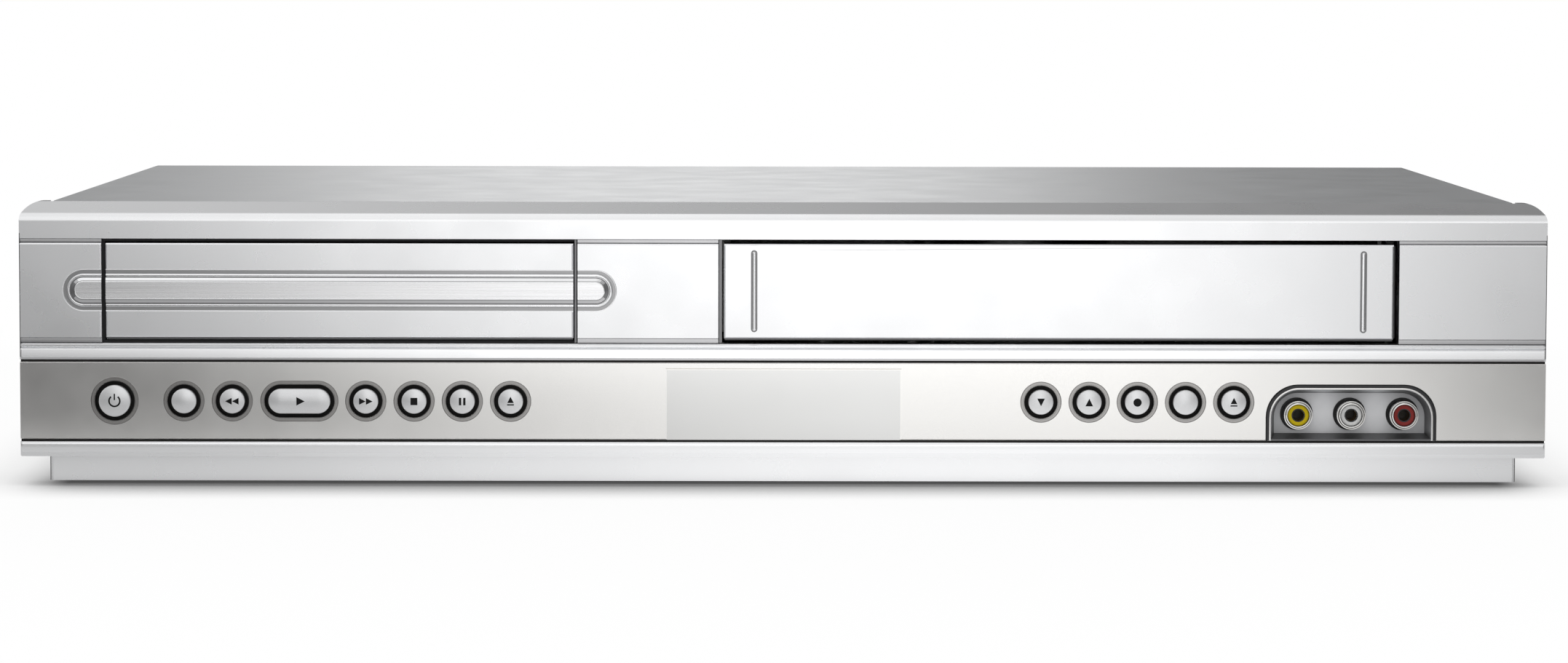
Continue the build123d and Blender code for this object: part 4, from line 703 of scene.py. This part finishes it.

# The sockets: a rolled lip on each shell, a raised collar of its colour, and a brass sleeve in the hole. The
# black ring inside each lip and the black mouth of each collar's hole are painted shade.
jacks = {"video": yellow_plastic, "left": pale_plastic, "right": red_plastic}
lips = bmesh.new()
sleeves = bmesh.new()
for name, material in jacks.items():
    low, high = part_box(name + "_jack_insulator")
    middle = (low.x + high.x) / 2
    level = (low.z + high.z) / 2
    rows = in_mm(
        (3.10, 0.30), (3.10, -0.78), (3.14, -0.90), (3.22, -0.96), (3.34, -0.96), (3.46, -0.90),
        (3.54, -0.76), (3.96, -0.10), (4.03, 0.10), (4.04, 0.60),
    )
    add_turned(lips, rows, middle, level, closed=True)
    rows = in_mm((3.13, 0.10), (3.13, -0.40), (3.04, -0.44), (2.95, -0.30), (2.95, 0.10))
    add_turned(lips, rows, middle, level, index=1, closed=True)
    form = bmesh.new()
    rows = in_mm(
        (3.00, 0.20), (3.00, -0.08), (2.90, -0.16), (2.50, -0.20), (2.16, -0.16), (1.96, -0.08),
        (1.88, -0.02), (1.88, 0.20),
    )
    add_turned(form, rows, middle, level, closed=True)
    rows = in_mm(
        (1.90, 0.15), (1.90, -0.06), (1.80, -0.08), (1.62, -0.04), (1.57, 0.10), (1.56, 1.20), (1.62, 1.20),
    )
    add_turned(form, rows, middle, level, index=1, closed=True)
    collar = add_object(name + "_jack_collar", form, [material, joint_black], "case")
    rows = in_mm((1.62, 1.30), (1.52, 1.20), (1.44, 1.40), (1.42, 6.0), (1.62, 6.0))
    add_turned(sleeves, rows, middle, level, steps=40, closed=True)
lips = add_object("jack_lips", lips, [nickel, joint_black], "case")
sleeves = add_object("jack_sleeves", sleeves, [contact_brass], "case")

# The sockets at the back: a metal ring on each, a collar of its colour, and a black bush round its hole
rear_low, rear_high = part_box("rear_jacks")
rear_tip = rear_high.y - front_y
rear_pitch = 16.0 * mm
rear_level = 28.0 * mm
rear_middle = (rear_low.x + rear_high.x) / 2
form = bmesh.new()
for place, colour in ((-1, 1), (0, 2), (1, 3)):
    for index, rows in (
        (0, in_mm((4.02, -0.90), (4.02, 0.10), (3.92, 0.22), (3.76, 0.24), (3.68, 0.12), (3.66, -0.90))),
        (colour, in_mm(
            (3.67, -0.20), (3.67, 0.04), (3.55, 0.12), (3.20, 0.12), (3.08, 0.02), (2.96, -0.40),
            (2.96, -0.90),
        )),
        (4, in_mm((3.02, -2.2), (3.00, -1.5), (2.80, -1.35), (1.80, -1.35), (1.62, -1.50), (1.60, -2.2))),
    ):
        rows = [(radius, rear_tip + behind) for radius, behind in rows]
        add_turned(
            form, rows, rear_middle + place * rear_pitch, rear_level, steps=40, index=index, closed=True
        )
rings = add_object(
    "rear_jack_rings", form, [nickel, yellow_plastic, pale_plastic, red_plastic, joint_black], "case"
)

# A strip of the band's colour closes the joint beside and above the display window
window_low, window_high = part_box("display_window")
joint = 0.3 * mm
joint_foot = window_low.z + 0.1 * mm
joint_front = front_y - 0.002 * mm
joint_back = front_y + 1.2 * mm
form = bmesh.new()
for first, last, foot in (
    (window_low.x - joint, window_low.x, joint_foot), (window_high.x, window_high.x + joint, joint_foot),
    (window_low.x, window_high.x, window_high.z),
):
    add_block(form, (first, joint_front, foot), (last, joint_back, window_high.z + joint))
window_joint = add_object("window_joint", form, [band_silver], "case")


# Two silver strips along the front, proud of it by a little: the lip below the band, and the rail above it
# with a chamfer coloured darker as painted shade. Their ends are eased.
def add_strip(form, profile, half, ease, index=0):
    loops = []
    for x, sink in (
        (-half, ease), (-half + 0.3 * ease, 0.3 * ease), (-half + ease, 0.0),
        (half - ease, 0.0), (half - 0.3 * ease, 0.3 * ease), (half, ease),
    ):
        loops.append([form.verts.new((x, front_y + behind + sink, z)) for z, behind in profile])
    join_loops(form, loops, index)


strip_half = bezel_high.x - 0.05 * mm
strip_ease = 0.5 * mm
lip_strip = in_mm(
    (8.46, 1.40), (8.48, 1.05), (8.66, 0.66), (9.00, 0.30), (9.45, 0.04), (10.1, -0.12), (11.0, -0.20),
    (12.0, -0.20), (12.35, -0.12), (12.58, 0.10), (12.68, 0.40), (12.68, 1.40),
)
rail_strip = in_mm(
    (36.42, 0.60), (36.42, -0.30), (36.52, -0.38), (38.70, -0.31), (38.88, -0.24), (38.98, -0.06),
    (39.0, 0.60),
)
rail_chamfer = in_mm((35.92, 0.60), (35.92, 0.0), (36.40, -0.28), (36.44, 0.10), (36.40, 0.60))
form = bmesh.new()
add_strip(form, lip_strip, strip_half, strip_ease)
lip = add_object("lip_strip", form, [trim_silver], "case")
form = bmesh.new()
add_strip(form, rail_strip, strip_half, strip_ease)
add_strip(form, rail_chamfer, strip_half - 0.2 * mm, strip_ease, index=1)
rail = add_object("rail_strip", form, [trim_silver, shade_toned_silver], "case")

# Inlays on the floors of the grooves above and below the cheeks, as painted shade: grey between fine dark
# edges
bay_top = door_high.z + 1.2 * mm
rail_top = door_low.z - 1.6 * mm
flap_gap = 1.6 * mm
cheeks = [
    (-strip_half, door_low.x - door_gap), (door_high.x + door_gap, flap_left - flap_gap),
    (flap_right + flap_gap, strip_half),
]
form = bmesh.new()
for first, last in cheeks:
    for low, high, near, index in (
        (69.80, 69.97, 0.40, 1), (69.02, 69.80, 0.44, 0), (68.86, 69.02, 0.46, 1),
        (41.90, 42.06, 0.30, 1), (40.80, 41.90, 0.34, 0), (40.62, 40.80, 0.40, 1),
    ):
        ridge = ((low + high) / 2, near - 0.02)
        profile = in_mm((low, 1.06), (low, near), ridge, (high, near), (high, 1.06))
        add_swept(form, profile, level_path(first, last), index)
inlays = add_object("groove_shade_inlays", form, [shade_toned_silver, groove_shade_grey], "case")

# Rounded upper edges on the cheeks and on both doors, and one down the left edge of the tray's opening
edge_profile = in_mm(
    (0.02, 0.60), (0.02, 0.34), (-0.05, 0.18), (-0.16, 0.07), (-0.30, 0.0), (-0.44, -0.03), (-0.49, 0.01),
    (-0.49, 0.60),
)
edge_inset = 0.1 * mm
for name, body, spans in (
    ("cheek_edges", "case", cheeks),
    ("tray_door_edge", "tray", [(door_low.x + edge_inset, door_high.x - edge_inset)]),
    ("flap_edge", "flap", [(flap_left + edge_inset, flap_right - edge_inset)]),
):
    form = bmesh.new()
    for first, last in spans:
        add_swept(form, edge_profile, level_path(first, last, door_high.z))
    if body == "case":
        opening = door_low.x - door_gap
        corners = [(opening + out, behind) for out, behind in edge_profile]
        for first, last in (
            (door_low.z + edge_inset, channel_level - channel_radius - 0.35 * mm),
            (channel_level + channel_radius + 0.35 * mm, door_high.z - 0.5 * mm),
        ):
            add_swept(form, corners, upright_path(first, last))
    edges = add_object(name, form, [trim_silver], body)

# A black felt strip in the gap round the tray door, as painted shade in that gap
felt_near, felt_far = 1.5 * mm, 2.4 * mm
felt_thick = 0.8 * mm
form = bmesh.new()
felt_profile = [
    (0.0, felt_far), (0.0, felt_near), (-0.5 * felt_thick, felt_near - 0.1 * mm),
    (-felt_thick, felt_near + 0.1 * mm), (-felt_thick, felt_far),
]
felt_left, felt_right = door_low.x - door_gap, door_high.x + door_gap
for level, way in ((bay_top, 1), (rail_top, -1)):
    add_swept(form, felt_profile, level_path(felt_left, felt_right, level, way))
corners = [(felt_left - out, behind) for out, behind in felt_profile]
add_swept(form, corners, upright_path(rail_top + felt_thick, bay_top - felt_thick))
gap_shade_felt = add_object("tray_gap_shade", form, [shade_felt_black], "case")

# Grey liners in the upright gaps beside the two doors, as painted shade in those gaps, and dark edges down
# both ends of the front, as a painted dark reflection on their rounded edges
form = bmesh.new()
for edge, first, last in (
    (door_high.x + door_gap, -0.92 * mm, -0.24 * mm), (flap_left - flap_gap, 0.14 * mm, 1.08 * mm),
):
    corners = [
        (edge + first, 2.0 * mm), (edge + first, 0.62 * mm), (edge + first + 0.08 * mm, 0.52 * mm),
        (edge + last - 0.08 * mm, 0.52 * mm), (edge + last, 0.62 * mm), (edge + last, 2.0 * mm),
    ]
    add_swept(form, corners, upright_path(rail_top + 0.3 * mm, bay_top - 0.2 * mm))
liners = add_object("gap_liners", form, [gap_shade_grey], "case")
form = bmesh.new()
trim_foot, trim_top = 36.6 * mm, 71.5 * mm
trim_profile = in_mm(
    (0.04, 1.2), (0.04, 0.25), (0.0, 0.0), (-0.14, -0.03), (-0.28, 0.02), (-0.28, 0.2), (-0.02, 1.2)
)
for side in (-1, 1):
    corners = [(side * (bezel_high.x + out), behind) for out, behind in trim_profile]
    add_swept(form, corners, upright_path(trim_foot, trim_top))
trims = add_object("end_trims", form, [groove_shade_grey], "case")

# Each door's foot is turned back below its front face, and the flap's right edge is turned back as well.
# Both are coloured dark grey as painted shade.
foot_profile = in_mm((-0.10, 0.30), (0.0, 0.46), (0.30, 0.62), (0.62, 1.0), (0.72, 1.5), (0.0, 1.9))
for name, body, low_x, high_x in (
    ("tray_door_foot", "tray", door_low.x, door_high.x), ("flap_foot", "flap", flap_left, flap_right),
):
    form = bmesh.new()
    profile = [(-out, behind) for out, behind in foot_profile]
    add_swept(form, profile, level_path(low_x + 0.2 * mm, high_x - 0.2 * mm, door_low.z))
    if body == "flap":
        corners = [(high_x + 0.8 * out, behind) for out, behind in foot_profile]
        add_swept(form, corners, upright_path(door_low.z + 0.3 * mm, door_high.z - 0.5 * mm))
    foot = add_object(name, form, [gap_shade_grey], body)

# Black sleeves on the flap's two hinge ears, which show in the gap above it
ear_width = 1.8 * mm
ear_margin = 0.03 * mm
corners = in_mm((68.72, 2.66), (68.72, 2.06), (68.86, 1.96), (69.1, 2.40), (70.6, 2.52), (70.6, 2.66))
form = bmesh.new()
for low_x in (flap_left - ear_margin, flap_right - ear_width - ear_margin):
    add_swept(form, corners, level_path(low_x, low_x + ear_width + 2 * ear_margin))
sleeve = add_object("flap_ear_sleeves", form, [well_black], "flap")

# The top cover, as one folded sheet with tight bends, a rolled back edge and three flanges over the back
# panel. Only its top reaches forward over the bezel's shelf.
cover_low, cover_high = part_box("top_cover")
cover_bend = 0.95 * mm
sheet = 0.8 * mm
top_start = cover_low.y - front_y
side_start = 16.3 * mm
cover_back = cover_high.y - front_y


def cover_profile(start):
    return [
        (0, start + 0.15 * mm), (0, cover_back - 0.9 * mm), (-0.06 * mm, cover_back - 0.45 * mm),
        (-0.30 * mm, cover_back - 0.05 * mm), (-0.62 * mm, cover_back + 0.10 * mm),
        (-sheet, cover_back + 0.05 * mm), (-sheet, start), (-0.12 * mm, start),
    ]


path = arch_path(cover_low.x, cover_high.x, cover_low.z, cover_high.z, cover_bend, 8)
half_way = len(path) // 2
notch = 0.25 * mm
path[half_way:half_way] = level_path(path[half_way - 1][0] + notch, path[half_way][0] - notch, cover_high.z)
form = bmesh.new()
loops = []
for number, station in enumerate(path):
    start = top_start if half_way <= number <= half_way + 1 else side_start
    loops.append(station_loop(form, cover_profile(start), station))
join_loops(form, loops)
flange_profile = [(out, cover_back + behind) for out, behind in in_mm(
    (-0.35, 0.02), (-0.35, 0.45), (-0.80, 0.78), (-6.6, 0.78), (-6.75, 0.63), (-6.75, 0.02)
)]
flange_foot, flange_top = 16 * mm, 70 * mm
flange_end = 196 * mm
add_swept(form, flange_profile, upright_path(flange_foot, flange_top, cover_low.x, -1))
add_swept(form, flange_profile, level_path(-flange_end, flange_end, cover_high.z))
add_swept(form, flange_profile, upright_path(flange_foot, flange_top, cover_high.x))
shell = add_object("cover_shell", form, [cover_silver], "case", 40.0)
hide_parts("top_cover")


# Adds a screw with a domed head and a cross recess to a bmesh; the recess is coloured black as painted
# shade. Its head stands on a point and faces along an axis.
def add_screw(form, point, axis, radius=2.9 * mm, steps=28):
    turn = Vector(axis).to_track_quat("Z", "X")
    rows = [
        (radius * 1.22, -0.10 * mm), (radius * 1.22, 0.22 * mm), (radius * 1.14, 0.32 * mm),
        (radius, 0.34 * mm), (radius * 0.97, 0.75 * mm), (radius * 0.86, 1.15 * mm),
        (radius * 0.62, 1.45 * mm), (radius * 0.30, 1.58 * mm), (radius * 0.05, 1.60 * mm),
    ]
    loops = []
    for away, height in rows:
        loops.append([
            form.verts.new(Vector(point) + turn @ Vector((
                away * cos(2 * pi * step / steps), away * sin(2 * pi * step / steps), height,
            ))) for step in range(steps)
        ])
    join_loops(form, loops)
    arm, half = 0.55 * radius, 0.13 * radius
    top, foot = 1.62 * mm, 1.0 * mm
    outline = [
        (half, half), (half, arm), (-half, arm), (-half, half), (-arm, half), (-arm, -half),
        (-half, -half), (-half, -arm), (half, -arm), (half, -half), (arm, -half), (arm, half),
    ]
    upper, lower = [
        [form.verts.new(Vector(point) + turn @ Vector((x, y, height))) for x, y in outline]
        for height in (top, foot)
    ]
    for loop in (upper, lower):
        for corners in ((0, 3, 6, 9), (0, 1, 2, 3), (3, 4, 5, 6), (6, 7, 8, 9), (9, 10, 11, 0)):
            face = form.faces.new([loop[corner] for corner in corners])
            face.material_index = 1
    for step in range(len(outline)):
        after = (step + 1) % len(outline)
        face = form.faces.new((upper[step], upper[after], lower[after], lower[step]))
        face.material_index = 1


form = bmesh.new()
side_screw_level, back_screw_level = 18 * mm, 76.2 * mm
for side in (-1, 1):
    for along in (-75 * mm, 85 * mm):
        add_screw(form, (side * cover_high.x, along, side_screw_level), (side, 0, 0))
for across in (-150 * mm, 0, 150 * mm):
    add_screw(form, (across, cover_high.y + 0.70 * mm, back_screw_level), (0, 1, 0), 2.2 * mm)
screws = add_object("cover_screws", form, [rod_steel, joint_black], "case")

# The floor, and the light that a studio gives
ground = bpy.data.meshes.new("floor")
reach = 12.0
ground.from_pydata(
    [(-reach, -reach, 0), (reach, -reach, 0), (reach, reach, 0), (-reach, reach, 0)], [], [(0, 1, 2, 3)]
)
floor = bpy.data.objects.new("floor", ground)
bpy.context.scene.collection.objects.link(floor)
floor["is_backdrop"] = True


def maths(tree, kind, *values):
    return make(tree, "Math", dict(enumerate(values)), operation=kind).outputs["Value"]


# Goes smoothly from low to high as a value goes from start to end
def smooth(tree, value, low=0.0, high=1.0, start=0.0, end=1.0):
    return ramp(tree, value, low, high, start, end, "SMOOTHSTEP")


# Bright within the inner distance from a middle value, and dim beyond the outer distance
def card(tree, value, middle, inner, outer, bright, dim):
    away = maths(tree, "ABSOLUTE", maths(tree, "SUBTRACT", value, middle))
    return ramp(tree, away, bright, dim, inner, outer, "SMOOTHERSTEP")


# The sum of several ramps of one value. Each row is a ramp's low and high level and its start and end.
def sum_of_ramps(tree, value, *rows):
    total = ramp(tree, value, *rows[0])
    for row in rows[1:]:
        total = maths(tree, "ADD", total, ramp(tree, value, *row))
    return total


def blend(tree, share, first, second):
    values = {"Factor": share, 2: first, 3: second}
    return make(tree, "Mix", values, data_type="FLOAT").outputs["Result"]


def blend_shaders(tree, share, first, second):
    return make(tree, "MixShader", {"Fac": share, 1: first, 2: second}).outputs["Shader"]


def seen_by(tree, *kinds):
    path = make(tree, "LightPath", {})
    total = path.outputs[kinds[0]]
    for kind in kinds[1:]:
        total = maths(tree, "MAXIMUM", total, path.outputs[kind])
    return total


floor_material, tree, shader = start_material("floor")
tree.nodes.remove(shader)
place = make(tree, "TexCoord", {}).outputs["Object"]
x, y, z = make(tree, "SeparateXYZ", {"Vector": place}).outputs
# White paper with the player's shadow on it: half of what the camera sees is lit, and half glows, less so in
# the corner where the player stands on it, which is a painted shadow.
paper = make(tree, "BsdfDiffuse", {"Color": (0.34, 0.34, 0.34, 1)})
shadow_reach = 38 * mm
corner = make(tree, "AmbientOcclusion", {"Distance": shadow_reach}, samples=12)
glow_level = ramp(tree, corner.outputs["AO"], 0.06, 0.78, 0.38, 0.97)
glow = make(tree, "Emission", {"Strength": glow_level})
near = make(tree, "AddShader", {0: paper.outputs["BSDF"], 1: glow.outputs["Emission"]})
# Far from the player the paper is plain white, and beside the plinth its shadow is weak.
white = make(tree, "Emission", {})
distance = make(tree, "VectorMath", {0: place}, operation="LENGTH").outputs["Value"]
far = smooth(tree, distance, start=0.30, end=0.55)
beside = ramp(tree, maths(tree, "ABSOLUTE", x), 0.0, 0.55, 0.203, 0.222)
share = maths(tree, "MAXIMUM", far, beside)
seen = blend_shaders(tree, share, near.outputs["Shader"], white.outputs["Emission"])
# Gloss sees the paper as a pool of light, brightest far in front. It widens away from the front, as its
# reflection needs, and dims to its sides, under the player, and where the lip and the band's top reflect it.
ahead = maths(tree, "SUBTRACT", front_y, y)
widen = maths(tree, "ADD", maths(tree, "MULTIPLY", ahead, 1 / camera_distance), 1.0)
least_widening = 0.3
across = maths(tree, "DIVIDE", x, maths(tree, "MAXIMUM", widen, least_widening))
left_start = ramp(tree, ahead, -0.197, -0.185, 0.38, 0.58)
left_run = ramp(tree, ahead, 0.240, 0.107, 0.38, 0.58)
from_left = maths(tree, "DIVIDE", maths(tree, "SUBTRACT", across, left_start), left_run)
right_near = ramp(tree, ahead, 0.095, 0.128, 0.11, 0.155)
right_far = ramp(tree, ahead, 0.128, 0.082, 0.32, 0.62)
right_start = maths(tree, "MINIMUM", right_far, right_near)
right_run = 0.135
from_right = maths(tree, "DIVIDE", maths(tree, "SUBTRACT", across, right_start), right_run)
bright = maths(tree, "MULTIPLY", smooth(tree, from_left), smooth(tree, from_right, 1.0, 0.0))
open_floor = smooth(tree, ahead, 0.08, 1.0, -0.02, 0.012)
side_level = sum_of_ramps(
    tree, ahead, (0.50, 0.0, 0.10, 0.16), (0.07, 0.02, 0.22, 0.45), (0.0, 0.17, 0.42, 0.56)
)
middle_level = sum_of_ramps(
    tree, ahead, (0.84, 1.70, 0.40, 0.62), (0.18, -0.10, 0.06, 0.10), (0.0, 0.22, 0.125, 0.155),
    (0.0, -0.16, 0.22, 0.42),
)
reach_up = maths(tree, "SUBTRACT", middle_level, side_level)
pool_level = maths(tree, "ADD", maths(tree, "MULTIPLY", bright, reach_up), side_level)
pool = make(tree, "Emission", {"Strength": maths(tree, "MULTIPLY", pool_level, open_floor)})
glossy = blend_shaders(
    tree, seen_by(tree, "Is Glossy Ray", "Is Transmission Ray"), seen, pool.outputs["Emission"]
)
# Light that bounces from the paper to the player comes from the lit paper alone.
lit_paper = make(tree, "BsdfDiffuse", {"Color": (0.7, 0.7, 0.7, 1)})
bounce = blend_shaders(
    tree, seen_by(tree, "Is Camera Ray", "Is Glossy Ray", "Is Transmission Ray"), lit_paper.outputs["BSDF"],
    glossy,
)
set_inputs(tree, tree.nodes["Material Output"], {"Surface": bounce})
ground.materials.append(floor_material)

# The world: white behind the player, a plain grey light all round, and for gloss a studio with a bright card
# low in front and one low behind, dimmer walls above them, brighter sides, and a ceiling that leans forward
# and is brightest in its middle.
world = bpy.data.worlds.new("studio")
bpy.context.scene.world = world
world.use_nodes = True
tree = world.node_tree
place = make(tree, "TexCoord", {}).outputs["Generated"]
x, y, z = make(tree, "SeparateXYZ", {"Vector": place}).outputs
low_front = card(tree, x, 0.03, 0.03, 0.30, 1.23, 0.18)
high_front = ramp(tree, x, 0.64, 0.34, 0.0, 0.17)
front_wall = blend(tree, smooth(tree, z, start=0.12, end=0.50), low_front, high_front)
low_back = card(tree, x, -0.015, 0.025, 0.12, 1.52, 0.07)
high_back = ramp(tree, x, 0.58, 0.20, -0.10, 0.12)
back_wall = blend(tree, smooth(tree, z, start=0.15, end=0.45), low_back, high_back)
walls = blend(tree, smooth(tree, y, start=-0.2, end=0.2), front_wall, back_wall)
walls = maths(tree, "ADD", walls, ramp(tree, maths(tree, "ABSOLUTE", x), 0.0, 0.42, 0.70, 0.95))
ceiling_lean = radians(10)
upward = maths(tree, "MULTIPLY", z, cos(ceiling_lean))
backward = maths(tree, "MULTIPLY", y, sin(ceiling_lean))
overhead = smooth(tree, maths(tree, "SUBTRACT", upward, backward), start=0.74, end=0.90)
studio = blend(tree, overhead, walls, card(tree, x, -0.03, 0.02, 0.25, 0.84, 0.42))
gloss = blend(tree, seen_by(tree, "Is Glossy Ray", "Is Transmission Ray"), 0.50, studio)
strength = blend(tree, seen_by(tree, "Is Camera Ray"), gloss, 1.0)
set_inputs(tree, tree.nodes["Background"], {"Color": (1, 1, 1, 1), "Strength": strength})


def soft_lamp(name, place, target, size, power):
    data = bpy.data.lights.new(name, "AREA")
    data.shape = "RECTANGLE"
    data.size, data.size_y = size
    data.energy = power
    lamp = bpy.data.objects.new(name, data)
    bpy.context.scene.collection.objects.link(lamp)
    lamp.location = place
    lamp.rotation_euler = (Vector(target) - Vector(place)).to_track_quat("-Z", "Y").to_euler()


soft_lamp("overhead", (0.0, -0.25, 1.2), (0, -0.1, 0), (2.4, 1.4), 2.0)
soft_lamp("front_box", (-0.2, -1.9, 0.95), (0, 0, 0.04), (3.0, 1.8), 5.0)

camera_data = bpy.data.cameras.new("camera")
camera_data.sensor_fit = "HORIZONTAL"
camera_data.sensor_width = camera_sensor
camera_data.lens = camera_lens
camera = bpy.data.objects.new("camera", camera_data)
camera.location = camera_place
camera.rotation_euler = (radians(90 - camera_pitch), radians(-camera_roll), radians(camera_yaw))
bpy.context.scene.collection.objects.link(camera)
bpy.context.scene.camera = camera
bpy.context.scene.view_settings.view_transform = "Standard"

low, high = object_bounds()
